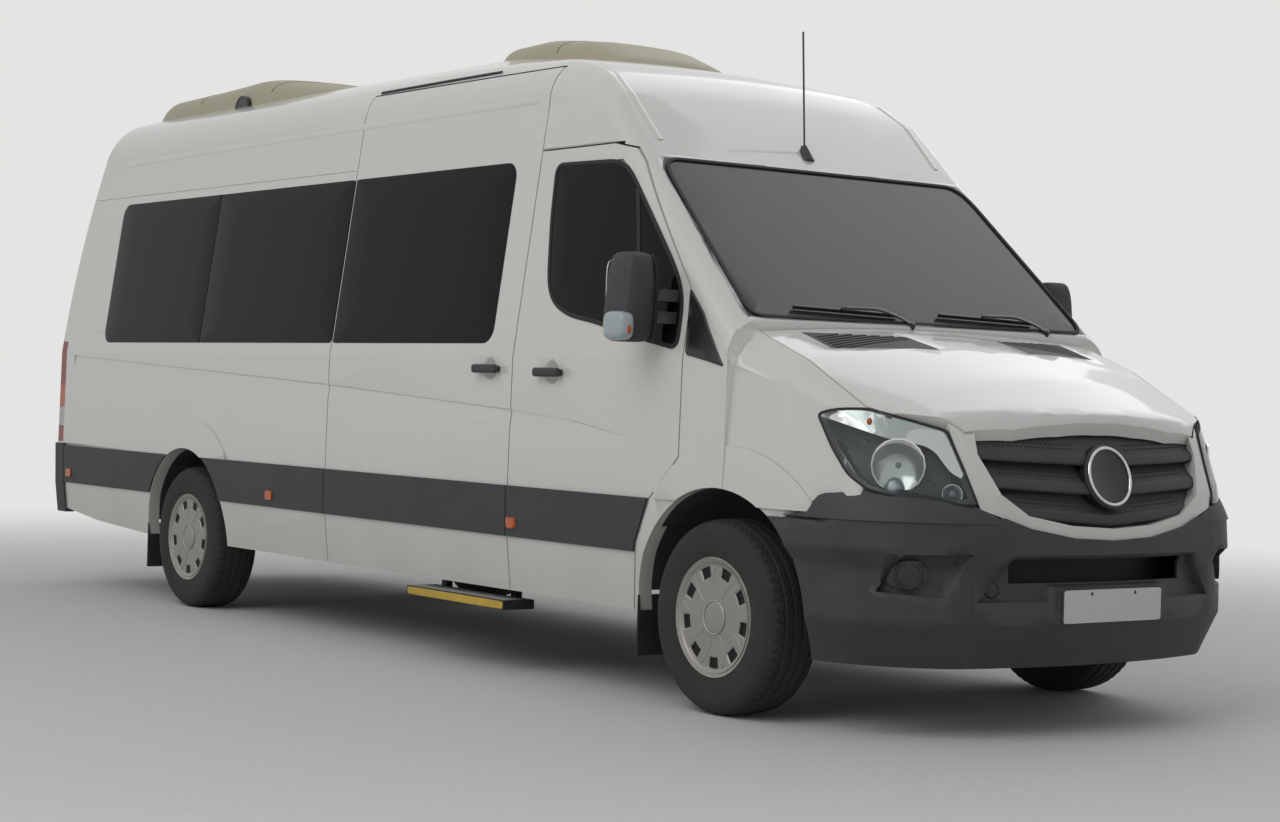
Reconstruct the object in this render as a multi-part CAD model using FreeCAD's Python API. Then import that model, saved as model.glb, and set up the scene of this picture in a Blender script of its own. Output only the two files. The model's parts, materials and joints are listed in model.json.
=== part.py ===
import FreeCAD, Part
import math
import os

Vector = FreeCAD.Vector

# Sizes are in millimetres. X runs forward, Y to the left and Z up.
# Everything is drawn from the ground under the middle of the front axle,
# and save() moves it so that the origin is under the middle of the vehicle.

# Overall sizes
wheelbase = 4325.0
front_overhang = 1050.0
rear_overhang = 1645.0
rear_lamp_depth = 20.0
vehicle_length = front_overhang + wheelbase + rear_overhang
front_axle_x = vehicle_length / 2 - front_overhang
rear_axle_x = -wheelbase
rear_face_x = rear_axle_x - rear_overhang
rear_skin_x = rear_face_x + rear_lamp_depth
nose_tip_x = front_overhang

# Walls, gaps and glass
wall = 60.0
sheet = 28.0
glass_thickness = 8.0
glass_flange = 16.0
panel_gap = 7.0
seat_gap = 0.3
trim_rise = 9.0
marker_rise = 16.0

# Heights
sill_z = 341.0
skirt_z = 562.0
band_z = 768.0
belt_z = 1290.0
gutter_z = 2140.0
floor_z = 660.0
floor_thickness = 45.0
floor_low_z = floor_z - floor_thickness
crown_z = 2695.0

# Half width of the body side at each height: height, half width
side_shape = (
    (sill_z, 965.0),
    (skirt_z, 990.0),
    (band_z, 995.0),
    (belt_z, 986.0),
    (2350.0, 838.0),
)
widest = 1200.0

# Cab and roof sections from the windscreen's foot back to the level roof.
# Columns: x, top of the flat side, shoulder y, shoulder z, crown z,
# how much more a wall is measured upright than square to the surface
screen_foot_x = 69.0
screen_foot_z = 1440.0
screen_top_x = -635.0
screen_top_z = 2087.0
screen_bow = 8.0
level_roof_x = -2300.0
cab_sections = (
    (screen_foot_x, 1292.0, 872.0, screen_foot_z - screen_bow, screen_foot_z, 1.36),
    (screen_top_x, 1955.0, 802.0, screen_top_z - screen_bow, screen_top_z, 1.38),
    (-900.0, 2215.0, 772.0, 2345.0, 2360.0, 1.40),
    (-1040.0, 2290.0, 730.0, 2438.0, 2458.0, 1.20),
    (-1181.0, 2318.0, 705.0, 2492.0, 2514.0, 1.05),
    (-1360.0, 2332.0, 696.0, 2532.0, 2556.0, 1.02),
    (-1800.0, 2342.0, 660.0, 2562.0, 2634.0, 1.01),
    (level_roof_x, 2350.0, 640.0, 2578.0, crown_z, 1.0),
)

# Rear end, upright to the belt and then leaning forward: x, z
rear_lean_z = 1300.0
rear_profile = (
    (rear_skin_x, rear_lean_z),
    (rear_skin_x + 118.0, 2100.0),
    (rear_skin_x + 262.0, 2490.0),
    (rear_skin_x + 300.0, 2600.0),
    (rear_skin_x + 390.0, crown_z + 30.0),
)

# Rising lower edge of the skirt behind the rear wheels: x, z
skirt_rise = ((rear_skin_x + 1120.0, sill_z), (rear_skin_x + 530.0, 371.0), (rear_skin_x + 110.0, 415.0))

# Nose sections. Columns: x, sill half width, band half width,
# crease y, crease z, bonnet edge y, bonnet edge z, bonnet crown z
nose_sections = (
    (-330.0, 964.0, 994.0, 984.0, 1300.0, 868.0, 1440.0, 1476.0),
    (30.0, 956.0, 988.0, 964.0, 1274.0, 858.0, 1412.0, 1440.0),
    (350.0, 946.0, 966.0, 932.0, 1203.0, 848.0, 1294.0, 1362.0),
    (nose_tip_x - 390.0, 925.0, 925.0, 893.0, 1092.0, 842.0, 1134.0, 1258.0),
    (nose_tip_x + 40.0, 850.0, 850.0, 790.0, 900.0, 640.0, 985.0, 1062.0),
)

# Nose outlines seen from above. Columns: z, how far behind the nose's tip
# the centre, the shoulder and the corner lie, corner y, side x, side y
nose_shoulder_y = 600.0
nose_plans = (
    (240.0, 20.0, 105.0, 228.0, 792.0, 420.0, 985.0),
    (700.0, 14.0, 85.0, 208.0, 800.0, 400.0, 1000.0),
    (850.0, 26.0, 98.0, 228.0, 792.0, 400.0, 1000.0),
    (1130.0, 106.0, 212.0, 312.0, 762.0, 400.0, 990.0),
    (1500.0, 220.0, 360.0, 490.0, 720.0, 300.0, 980.0),
)
bumper_plans = (
    (252.0, 70.0, 150.0, 272.0, 762.0, 420.0, 912.0),
    (405.0, 12.0, 92.0, 216.0, 806.0, 400.0, 948.0),
    (600.0, 18.0, 96.0, 214.0, 802.0, 390.0, 950.0),
    (645.0, 0.0, 74.0, 190.0, 820.0, 380.0, 970.0),
    (770.0, 4.0, 78.0, 194.0, 812.0, 380.0, 970.0),
)
bumper_wall = 46.0

# Edge between the bumper and the panels over it, seen from the front: y, z
bumper_edge = (
    (0.0, 692.0), (200.0, 702.0), (390.0, 735.0), (592.0, 802.0),
    (850.0, 842.0), (935.0, 828.0), (962.0, 742.0), (1020.0, 738.0),
)
bumper_rear_x = 150.0

# Recesses in the bumper, seen from the front: y, z
intake_recess = ((452.0, 636.0), (590.0, 482.0), (300.0, 482.0), (300.0, 536.0))
intake_slot = (-440.0, 420.0, 545.0, 628.0)
recess_depth = 34.0
fog_recess = ((868.0, 512.0), (822.0, 640.0), (616.0, 648.0), (690.0, 498.0))
fog_recess_depth = 26.0
fog_centre = (792.0, 572.0)
fog_radius = 50.0

# Number plate pad and its two fixings
plate_hole_spacing = 320.0
plate_hole_radius = 3.5
plate_z = 465.0
plate_pad = (268.0, 404.0, 528.0)
plate_face_x = nose_tip_x - 14.0
plate_pad_depth = 40.0

# Socket for the towing eye, on the right frame rail
tow_y = -505.0
tow_z = 522.0
tow_socket_radius = 10.0
tow_socket_depth = 60.0
tow_cover_radius = 27.0

# Grille surround and opening, seen from the front: y, z
surround_half = ((632.0, 1110.0), (632.0, 806.0), (592.0, 802.0), (390.0, 735.0), (200.0, 702.0))
opening_half = (
    (300.0, 1120.0), (548.0, 1080.0), (556.0, 985.0), (500.0, 850.0), (390.0, 778.0), (200.0, 744.0),
)
surround_low_z = 692.0
opening_low_z = 733.0
opening_high_z = 1130.0

# Grille slats. Columns: height at the ends, height at the middle
slats = ((990.0, 968.0), (898.0, 866.0), (806.0, 762.0))
slat_height = 44.0
slat_depth = 62.0
slot_count = 9
slot_pitch = 42.0
slot_size = 20.0
emblem_radius = 106.0
emblem_z = 913.0

# Right headlamp, drawn square to the vehicle's corner: distance along it, z
lamp_outline = (
    (-300.0, 1108.0), (-124.0, 1133.0), (150.0, 1064.0),
    (266.0, 802.0), (60.0, 812.0), (-116.0, 850.0),
)
lamp_axis = (nose_tip_x - 450.0, -600.0)
lamp_depth = 70.0

# Bonnet: front edge from side to middle as distance behind the nose's tip, y
bonnet_rear_x = screen_foot_x + panel_gap
bonnet_side_y = 848.0
bonnet_edge = (
    (410.0, 838.0), (346.0, 806.0), (212.0, 628.0), (164.0, 582.0), (120.0, 390.0), (102.0, 190.0),
)
bonnet_tip = 97.0
bonnet_low_z = 700.0
bonnet_rise = 900.0
bonnet_motion_tilt = 20.0

# Air vents in the bonnet's rear edge, seen from above: x, y
vent_outline = ((104.0, 676.0), (188.0, 234.0), (372.0, 232.0), (284.0, 680.0))
vent_depth = 12.0
vent_slots = 7

# Wheels
wheel_track = 1710.0
tyre_radius = 356.0
tyre_width = 235.0
rim_radius = 203.0
rim_wall = 14.0
rim_width = 190.0
hub_radius = 68.0
hub_face = 20.0
trim_radius = 219.0
trim_openings = 9
front_arch_radius = 470.0
front_arch_x = 25.0
rear_arch_radius = 452.0
housing_wall = 12.0
well_inner_y = 505.0
rear_well_inner_y = 640.0

# Raised edges over the wheels. Columns: x, z, radius
front_flare = (80.0, 380.0, 600.0)
rear_flare = (rear_axle_x + 133.0, 531.0, 415.0)

# Steering axis, from the lower ball joint to the top of the strut
pin_low_y = 778.0
pin_low_z = 238.0
pin_top_y = 648.0
pin_top_z = 806.0
ball_radius = 24.0
strut_radius = 22.0
lower_arm_height = 18.0

# Front doors, seen from the side
door_rear_x = -1330.0
door_front_x = -200.0
door_sill_front_x = -484.0
door_arch_x = -368.0
door_arch_z = 770.0
door_shoulder_z = 930.0
pillar_foot = (-212.0, 1560.0)
pillar_head = (-640.0, 2050.0)
door_window_outline = (
    (-1142.0, 2068.0), (-752.0, 2068.0), (-330.0, 1572.0), (-268.0, 1420.0),
    (-560.0, 1385.0), (-1062.0, 1500.0), (-1150.0, 1610.0),
)

# Sliding door on the right side
sliding_length = 1520.0
sliding_rear_x = door_rear_x - sliding_length
sliding_top_z = 2490.0

# Side glass
window_low_z = 1345.0
window_high_z = 2100.0
window_corner = 70.0
window_pillar = 20.0
glass_joint = 6.0
sliding_glass_front_x = door_rear_x - 170.0
side_glass_rear_x = rear_skin_x + 550.0
glass_split_x = side_glass_rear_x + 1180.0

# Rear doors
rear_door_half = 800.0
rear_door_low_z = 610.0
rear_door_high_z = 2410.0
rear_window_y = (110.0, 690.0)
rear_window_z = (1380.0, 2060.0)
rear_seal_step = 16.0
rear_seal_depth = 22.0
barrel_radius = 9.0
barrel_x = rear_skin_x - barrel_radius - 1.5
barrel_y = rear_door_half + 3.0
barrel_heights = (870.0, 1200.0, 1560.0)

# Crease along the side: x, z
swage_line = (
    (rear_skin_x + 180.0, 1274.0), (sliding_rear_x, 1156.0), (door_rear_x, 1078.0),
    (-900.0, 1047.0), (-461.0, 989.0),
)
swage_depth = 7.0
swage_fade = 95.0

# Handles: x, z
handle_length = 176.0
handle_height = 36.0
door_handle = (-1045.0, 1230.0)
sliding_handle = (door_rear_x - 168.0, 1240.0)
cup_radius = 95.0
cup_depth = 15.0

# Side marker lamps along the body: x
marker_size = (62.0, 44.0)
marker_z = 618.0
door_marker_x = door_rear_x + 46.0
body_marker_xs = (rear_axle_x + 942.0, rear_skin_x + 175.0)

# Frame under the floor
rail_y = (376.0, 460.0)
rail_low_z = 440.0
rail_nose_x = nose_tip_x - 290.0
cross_xs = (door_rear_x + 30.0, door_rear_x - 1170.0, rear_axle_x + 825.0, rear_skin_x + 750.0,
            rear_skin_x + 150.0)
spring_reach = 660.0
step_xs = (door_rear_x - 630.0, door_rear_x - 90.0)
exhaust_post_x = rear_axle_x + 1125.0
outrigger_xs = step_xs + (exhaust_post_x, rear_skin_x + 650.0)
jack_size = (120.0, 70.0, 12.0)
jack_xs = (door_rear_x + 630.0, rear_axle_x + 1025.0)

# Seats. Columns: x, right edge, left edge
cab_seat_x = door_rear_x + 330.0
seat_pitch = 800.0
bench_x = rear_skin_x + 600.0
cab_seats = ((180.0, 660.0), (-680.0, -200.0), (-190.0, 150.0))
left_bench = (330.0, 800.0)
right_bench = (-800.0, -380.0)
rear_bench = (-780.0, 780.0)

# Cooling units on the roof. Columns: x, top z, half width at the foot,
# half width at the top
rear_unit = (
    (rear_skin_x + 120.0, 2640.0, 560.0, 540.0),
    (rear_skin_x + 270.0, 2752.0, 560.0, 470.0),
    (rear_skin_x + 870.0, 2770.0, 560.0, 450.0),
    (rear_skin_x + 1380.0, 2790.0, 560.0, 450.0),
    (rear_skin_x + 1970.0, 2690.0, 400.0, 300.0),
)
front_unit = (
    (-2960.0, 2690.0, 420.0, 400.0),
    (-2860.0, 2770.0, 430.0, 370.0),
    (-2350.0, 2775.0, 430.0, 370.0),
    (-1850.0, 2690.0, 430.0, 370.0),
    (-1560.0, 2604.0, 300.0, 260.0),
)
unit_foot_z = 2480.0
unit_outlet_x = rear_skin_x + 1270.0


def point(x, y, z):
    return Vector(x, y, z)


def box(x0, x1, y0, y1, z0, z1):
    return Part.makeBox(x1 - x0, y1 - y0, z1 - z0, point(x0, y0, z0))


def tube(x, y0, y1, z, radius):
    """A round bar lying across the vehicle."""
    return Part.makeCylinder(radius, y1 - y0, point(x, y0, z), point(0, 1, 0))


def rod(start, end, radius):
    """A round bar between two points."""
    way = end.sub(start)
    return Part.makeCylinder(radius, way.Length, start, way)


def mirrored(shape):
    return shape.mirror(point(0, 0, 0), point(0, 1, 0))


def joined(shapes):
    """One solid made of shapes that meet."""
    return shapes[0].fuse(list(shapes[1:])).removeSplitter()


def together(shapes):
    """Pieces of one kind that stay apart, kept in one file."""
    solids = []
    for shape in shapes:
        solids.extend(shape.Solids)
    return Part.makeCompound(solids)


def both_sides(shape):
    """A shape and its mirror image on the other side."""
    return together([shape, mirrored(shape)])


def polygon(corners):
    return Part.makePolygon(corners + corners[:1])


def side_prism(outline, y0, y1):
    """An outline of (x, z) corners drawn across from y0 to y1."""
    face = Part.Face(polygon([point(x, y0, z) for x, z in outline]))
    return face.extrude(point(0, y1 - y0, 0))


def front_prism(outline, x0, x1):
    """An outline of (y, z) corners drawn lengthwise from x0 to x1."""
    face = Part.Face(polygon([point(x0, y, z) for y, z in outline]))
    return face.extrude(point(x1 - x0, 0, 0))


def symmetric(half):
    """A closed outline made of its left half, given from top to bottom or back."""
    return list(half) + [(-y, z) for y, z in reversed(half)]


def grown_prism(outline, gap, y0, y1):
    """A side outline widened by a gap, or narrowed where the gap is below zero."""
    wire = polygon([point(x, y0, z) for x, z in outline])
    if gap:
        wire = wire.makeOffset2D(gap, join=2)
    return Part.Face(wire).extrude(point(0, y1 - y0, 0))


def is_along(edge, axis):
    """Whether a straight edge runs along X (0), Y (1) or Z (2)."""
    way = edge.Vertexes[-1].Point.sub(edge.Vertexes[0].Point)
    return abs(abs(way[axis]) - way.Length) < 1e-6


def rounded(shape, radius, chosen):
    """Round the edges for which chosen(edge) holds."""
    return shape.makeFillet(radius, [edge for edge in shape.Edges if chosen(edge)])


def half_width(z):
    """Half width of the body side at height z."""
    for (z0, y0), (z1, y1) in zip(side_shape, side_shape[1:]):
        if z <= z1:
            return y0 + (y1 - y0) * (z - z0) / (z1 - z0)
    return side_shape[-1][1]


def save(name, shape):
    """Move a piece to the vehicle's own origin and write it out."""
    placed = shape.copy()
    placed.translate(point(front_axle_x, 0, 0))
    placed.exportStep("parts/" + name + ".step")


def bulged(y0, z0, y1, z1, turn):
    """Middle point of an arc between two points that turns by turn degrees."""
    bulge = math.tan(math.radians(turn) / 4) / 2
    return (y0 + y1) / 2 + (z1 - z0) * bulge, (z0 + z1) / 2 - (y1 - y0) * bulge


def section_wire(x, sides, shoulder, crown, corner_turn):
    """Outline across the vehicle: straight sides, round shoulders, crowned top."""
    right = [point(x, -y, z) for y, z in sides]
    left = [point(x, y, z) for y, z in sides]
    mid_y, mid_z = bulged(sides[-1][0], sides[-1][1], shoulder[0], shoulder[1], corner_turn)
    shoulder_left = point(x, shoulder[0], shoulder[1])
    shoulder_right = point(x, -shoulder[0], shoulder[1])
    edges = [Part.makeLine(right[0], left[0])]
    edges += [Part.makeLine(a, b) for a, b in zip(left, left[1:])]
    edges.append(Part.Arc(left[-1], point(x, mid_y, mid_z), shoulder_left).toShape())
    edges.append(Part.Arc(shoulder_left, point(x, 0, crown), shoulder_right).toShape())
    edges.append(Part.Arc(shoulder_right, point(x, -mid_y, mid_z), right[-1]).toShape())
    edges += [Part.makeLine(a, b) for a, b in zip(right[:0:-1], right[-2::-1])]
    return Part.Wire(edges)


def body_wire(row, inset, bottom_z):
    """Cab or roof section, drawn in by inset from the outer skin."""
    x, side_top, shoulder_y, shoulder_z, crown, slant = row
    heights = [bottom_z] + [z for z, _ in side_shape if bottom_z < z < side_top] + [side_top]
    sides = [(half_width(z) - inset, z) for z in heights]
    shoulder = (shoulder_y - inset * 0.35, shoulder_z - inset * slant)
    return section_wire(x, sides, shoulder, crown - inset * slant, 75.0)


def rear_limit(inset):
    """Everything in front of the leaning rear end."""
    foot = [(rear_skin_x, 0.0), rear_profile[0]]
    upright = [point(x + inset, -widest, z) for x, z in foot]
    lean = [point(x + inset, -widest, z) for x, z in rear_profile[1:3]]
    corner = [point(x + inset, -widest, z - inset) for x, z in rear_profile[3:]]
    front_high = point(level_roof_x + 10, -widest, corner[1].z)
    front_low = point(level_roof_x + 10, -widest, 0)
    edges = [
        Part.makeLine(upright[0], upright[1]),
        Part.Arc(upright[1], lean[0], lean[1]).toShape(),
        Part.Arc(lean[1], corner[0], corner[1]).toShape(),
        Part.makeLine(corner[1], front_high),
        Part.makeLine(front_high, front_low),
        Part.makeLine(front_low, upright[0]),
    ]
    return Part.Face(Part.Wire(edges)).extrude(point(0, 2 * widest, 0))


def body_hull(inset, bottom_z):
    """Closed volume of the cab and cabin, drawn in by inset from the skin."""
    wires = [body_wire(row, inset, bottom_z) for row in cab_sections]
    cab = Part.makeLoft(wires, True, True)
    straight = Part.Face(wires[-1]).extrude(point(rear_face_x - level_roof_x - sheet, 0, 0))
    return cab.fuse(straight.common(rear_limit(inset))).removeSplitter()


def nose_wire(row, inset):
    x, sill, band, crease_y, crease_z, edge_y, edge_z, crown = row
    sides = [(sill - inset, sill_z - wall), (band - inset, band_z)]
    sides.append((crease_y - inset, crease_z - inset * 0.5))
    shoulder = (edge_y - inset * 0.6, edge_z - inset)
    return section_wire(x, sides, shoulder, crown - inset * 1.05, 22.0)


def plan_wire(row, inset):
    """Nose outline at one height: bowed front, round corners, straight sides."""
    z, centre, shoulder, corner, corner_y, side_x, side_y = row
    back_x = nose_sections[0][0] - wall
    left = [
        point(nose_tip_x - shoulder - inset, nose_shoulder_y, z),
        point(nose_tip_x - corner - inset * 0.75, corner_y - inset * 0.65, z),
        point(side_x, side_y - inset, z),
        point(back_x, side_y - inset, z),
    ]
    right = [point(spot.x, -spot.y, z) for spot in left]
    return Part.Wire([
        Part.Arc(right[0], point(nose_tip_x - centre - inset, 0, z), left[0]).toShape(),
        Part.Arc(left[0], left[1], left[2]).toShape(),
        Part.makeLine(left[2], left[3]),
        Part.makeLine(left[3], right[3]),
        Part.makeLine(right[3], right[2]),
        Part.Arc(right[2], right[1], right[0]).toShape(),
    ])


def plan_hull(rows, inset):
    return Part.makeLoft([plan_wire(row, inset) for row in rows], True, True)


def nose_hull(inset):
    """Closed volume of bonnet, wings and nose, drawn in by inset."""
    along = Part.makeLoft([nose_wire(row, inset) for row in nose_sections], True, True)
    return along.common(plan_hull(nose_plans, inset))


def swage():
    """Wedge that sinks the side below its crease, on the right."""
    wires = []
    for x, z in swage_line:
        depth = swage_depth if x < swage_line[-1][0] else 0.5
        high = point(x, -half_width(z + 3) - 3, z + 3)
        deep = point(x, depth - half_width(z), z - 6)
        low = point(x, -half_width(z - swage_fade) - 3, z - swage_fade)
        wires.append(polygon([high, deep, low]))
    return Part.makeLoft(wires, True, True)


def arch_space(x, radius, inner_y, grow=0.0):
    """Room for a wheel on both sides, widened by grow for its inner wing."""
    return both_sides(tube(x, -widest, grow - inner_y, tyre_radius, radius + grow))


class Shell:
    """The volumes and cuts that the panels share."""

    def __init__(self):
        self.outer = body_hull(0, sill_z)
        self.inner = body_hull(wall, sill_z - sheet)
        self.nose = nose_hull(0)
        self.nose_inner = nose_hull(sheet)
        self.solid = self.outer.fuse(self.nose)
        skirt = side_prism(list(skirt_rise) + [(rear_skin_x - 200, 415), (rear_skin_x - 200, 0),
                                               (skirt_rise[0][0], 0)], -widest, widest)
        self.skin = self.solid.cut([self.inner.fuse(self.nose_inner), both_sides(swage()), skirt])
        self.glass = self.outer.cut(body_hull(glass_thickness, sill_z - sheet))
        self.raised = body_hull(-trim_rise, sill_z).cut(self.outer)
        self.front_arches = arch_space(front_arch_x, front_arch_radius, well_inner_y)
        self.rear_arches = arch_space(rear_axle_x, rear_arch_radius, rear_well_inner_y)
        self.door = side_prism(door_outline(), -widest, -500)
        self.doors = both_sides(grown_prism(door_outline(), panel_gap, -widest, -500))
        self.sliding = grown_prism(sliding_outline(), panel_gap, -widest, -500)
        self.rear_opening = box(
            rear_skin_x - 100, rear_skin_x + 500, -rear_door_half - panel_gap,
            rear_door_half + panel_gap, rear_door_low_z - panel_gap, rear_door_high_z + panel_gap)


def door_outline():
    """Front door, seen from the side."""
    rear = door_rear_x + panel_gap / 2
    top = gutter_z - panel_gap
    foot = sill_z - sheet
    return (
        (rear, foot), (rear, top), (-820.0, top), (-700.0, top - 25), pillar_head, pillar_foot,
        (door_front_x, 1500.0), (door_front_x, door_shoulder_z), (door_arch_x, door_arch_z),
        (-448.0, 600.0), (door_sill_front_x, foot),
    )


def sliding_outline():
    front = door_rear_x - panel_gap / 2
    foot = sill_z - sheet
    return ((front, foot), (front, sliding_top_z), (sliding_rear_x, sliding_top_z), (sliding_rear_x, foot))


def side_window(x0, x1, margin, side):
    """Space of a window in the body side, drawn in by a margin."""
    y0 = 600 if side > 0 else -1100
    block = box(x0 + margin, x1 - margin, y0, y0 + 500, window_low_z + margin, window_high_z - margin)
    return rounded(block, window_corner, lambda edge: is_along(edge, 1))


def screen_space(margin):
    """Space of the windscreen, drawn in by a margin."""
    half = ((770.0, screen_top_z - 11), (806.0, screen_top_z - 47), (878.0, screen_foot_z + 8))
    wire = polygon([point(-790, y, z) for y, z in symmetric(half)])
    if margin:
        wire = wire.makeOffset2D(-margin, join=2)
    return Part.Face(wire).extrude(point(790 + screen_foot_x + wall, 0, 0))


def rear_window(margin):
    """Space of the left rear door's window, drawn in by a margin."""
    low, high = rear_window_z
    block = box(rear_skin_x - wall, rear_skin_x + 400, rear_window_y[0] + margin,
                rear_window_y[1] - margin, low + margin, high - margin)
    return rounded(block, 50.0, lambda edge: is_along(edge, 0))


def handle(spot, outer):
    """Bar handle on the right side, standing on two feet over its finger cup."""
    x, z = spot
    y = half_width(z)
    bar = box(x - handle_length / 2, x + handle_length / 2, -y - 40, -y - 16,
              z - handle_height / 2, z + handle_height / 2)
    bar = rounded(bar, 11.0, lambda edge: True)
    feet = [tube(x + way * (handle_length / 2 - 22), -y - 30, -y + 10, z, 13) for way in (1, -1)]
    return joined([bar] + feet).cut(outer)


def cup(spot):
    """Finger cup behind a handle on the right side."""
    x, z = spot
    return Part.makeSphere(cup_radius, point(x, cup_depth - cup_radius - half_width(z), z))


def marker(x):
    """Side marker lamp on the right side, with the room that it takes."""
    length, height = marker_size
    y = half_width(marker_z)
    block = box(x - length / 2, x + length / 2, -y - marker_rise, -y + sheet,
                marker_z - height / 2, marker_z + height / 2)
    return rounded(block, 10.0, lambda edge: is_along(edge, 1))


def save_roof(shell):
    line = (
        (150.0, screen_top_z), (screen_top_x - 5, screen_top_z), (-760.0, gutter_z),
        (rear_face_x - wall, gutter_z), (rear_face_x - wall, 2900.0), (150.0, 2900.0),
    )
    roof = shell.skin.common(side_prism(line, -widest, widest))
    seam = shell.solid.cut(body_hull(4, sill_z)).common(
        box(rear_face_x - wall, -820, -widest, widest, gutter_z, gutter_z + 4))
    save("roof", roof.cut([shell.doors, shell.sliding, shell.rear_opening, seam]))

    line = (
        (screen_foot_x, screen_top_z), (screen_top_x - 5, screen_top_z), (-760.0, gutter_z),
        (-760.0, 1400.0), (screen_foot_x, 1400.0),
    )
    windscreen = shell.glass.common(screen_space(0))
    frame = shell.skin.common(side_prism(line, -widest, widest))
    save("windscreen_frame", frame.cut([shell.doors, windscreen, screen_space(glass_flange)]))
    save("windscreen", windscreen)


def save_sides(shell):
    """Body sides behind the cab, their glass, and the sliding door."""
    rear_x = rear_skin_x - 100
    left = box(rear_x, door_rear_x - panel_gap / 2, rear_door_half, widest, sill_z - wall, gutter_z)
    right = box(rear_x, sliding_rear_x - panel_gap, -widest, -rear_door_half, sill_z - wall, gutter_z)
    split = (glass_split_x - glass_joint / 2, glass_split_x + glass_joint / 2)
    sliding_glass = (sliding_rear_x + window_pillar, sliding_glass_front_x)
    rear_front_x = sliding_rear_x - window_pillar
    left_spans = ((side_glass_rear_x, split[0]), (split[1], sliding_glass_front_x))
    right_spans = ((side_glass_rear_x, split[0]), (split[1], rear_front_x))
    tail_right = box(rear_skin_x - wall, rear_skin_x + 70, -1100, -rear_door_half - wall, 790, 1350)
    tail_lamps = shell.skin.common(both_sides(tail_right))
    flare = raised_edge(shell, rear_flare, rear_axle_x, rear_arch_radius)
    panes, walls = [], []
    for side, space, spans in ((1, left, left_spans), (-1, right, right_spans)):
        seat = shell.glass.common(side_window(spans[0][0], spans[-1][1], 0, side))
        panes += [seat.common(box(x0, x1, -widest, widest, 0, crown_z)) for x0, x1 in spans]
        holes = [side_window(x0, x1, glass_flange, side) for x0, x1 in spans]
        panel = shell.skin.common(space)
        panel = panel.cut([shell.rear_arches, shell.rear_opening, tail_lamps, seat] + holes)
        walls.append(panel.fuse(flare if side < 0 else mirrored(flare)).removeSplitter())
    save("side_walls", together(walls))
    save("side_glass", together(panes))
    save("tail_lamps", tail_lamps)

    pane = shell.glass.common(side_window(*sliding_glass, 0, -1))
    door = shell.skin.common(grown_prism(sliding_outline(), 0, -widest, -500))
    door = door.cut([pane, side_window(*sliding_glass, glass_flange, -1), cup(sliding_handle)])
    save("sliding_door", door)
    save("sliding_door_glass", pane)


def raised_edge(shell, place, arch_x, arch_radius):
    """Raised edge over the right wheel, from the band up to its own round outline."""
    x, z, radius = place
    ring = tube(x, -widest, -600, z, radius).cut(tube(arch_x, -widest, -600, tyre_radius, arch_radius))
    ring = ring.common(box(x - radius, x + radius, -widest, -600, band_z, band_z + radius))
    lifted = shell.raised if arch_x < door_rear_x else nose_hull(-trim_rise).cut(shell.solid)
    return lifted.common(ring)


def save_front_doors(shell):
    pane = shell.glass.common(grown_prism(door_window_outline, 0, -1100, -500))
    window = grown_prism(door_window_outline, -glass_flange, -1100, -500)
    door = shell.skin.common(shell.door).cut([shell.front_arches, pane, window, cup(door_handle)])
    save("front_door_right", door)
    save("front_door_left", mirrored(door))
    save("front_door_glass_right", pane)
    save("front_door_glass_left", mirrored(pane))
    band = shell.raised.common(side_prism(door_outline(), -widest, -600))
    band = band.common(box(-5000, 0, -widest, -600, skirt_z, band_z)).cut(band_arches())
    lamp = marker(door_marker_x)
    trims = [band.cut(lamp), lamp.cut(shell.outer), handle(door_handle, shell.outer), mirror(shell.outer)]
    save("front_door_trim_right", together(trims))
    save("front_door_trim_left", mirrored(together(trims)))


def mirror(outer):
    """Door mirror on the right: upright head with round edges, on a short arm."""
    outline = (
        (-440.0, 1374.0), (-424.0, 1347.0), (-300.0, 1347.0), (-284.0, 1400.0),
        (-284.0, 1640.0), (-312.0, 1680.0), (-400.0, 1680.0), (-440.0, 1630.0),
    )
    head = rounded(side_prism(outline, -1212, -1035), 26.0, lambda edge: not is_along(edge, 1))
    arms = [box(-345, -266, -1040, -940, z, z + 44) for z in (1418.0, 1500.0)]
    foot = front_prism(((-950, 1400), (-950, 1560), (-880, 1560), (-880, 1400)), -350, -262)
    return joined([head, foot] + arms).cut(outer)


def save_rear_doors(shell):
    half = box(rear_skin_x - 100, rear_skin_x + 500, panel_gap / 2 + 1, rear_door_half,
               rear_door_low_z, rear_door_high_z)
    pane = shell.glass.common(rear_window(0))
    step = body_hull(rear_seal_depth, sill_z).common(
        box(rear_skin_x - 100, rear_skin_x + 500, -1, rear_seal_step, 0, crown_z))
    door = shell.skin.common(half).cut([pane, rear_window(glass_flange), step])
    barrels = [hinge_barrel(z) for z in barrel_heights]
    door = door.fuse(barrels).removeSplitter()
    save("rear_door_left", door)
    save("rear_door_right", mirrored(door))
    save("rear_door_glass_left", pane)
    save("rear_door_glass_right", mirrored(pane))


def rear_face_at(z):
    """How far forward of the upright skin the rear end lies at height z."""
    (_, z0), (x1, z1), _, _, _ = rear_profile
    if z <= z0:
        return 0.0
    return (x1 - rear_skin_x) * ((z - z0) / (z1 - z0)) ** 2


def hinge_barrel(z):
    """Left rear door's hinge barrel and the leaf that carries it."""
    pin = rod(point(barrel_x, barrel_y, z - 45), point(barrel_x, barrel_y, z + 45), barrel_radius)
    reach = barrel_x + barrel_radius + 4 + rear_face_at(z + 45)
    leaf = box(barrel_x - 4, reach, barrel_y - 56, barrel_y - 2, z - 30, z + 30)
    return pin.fuse(leaf)


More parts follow.
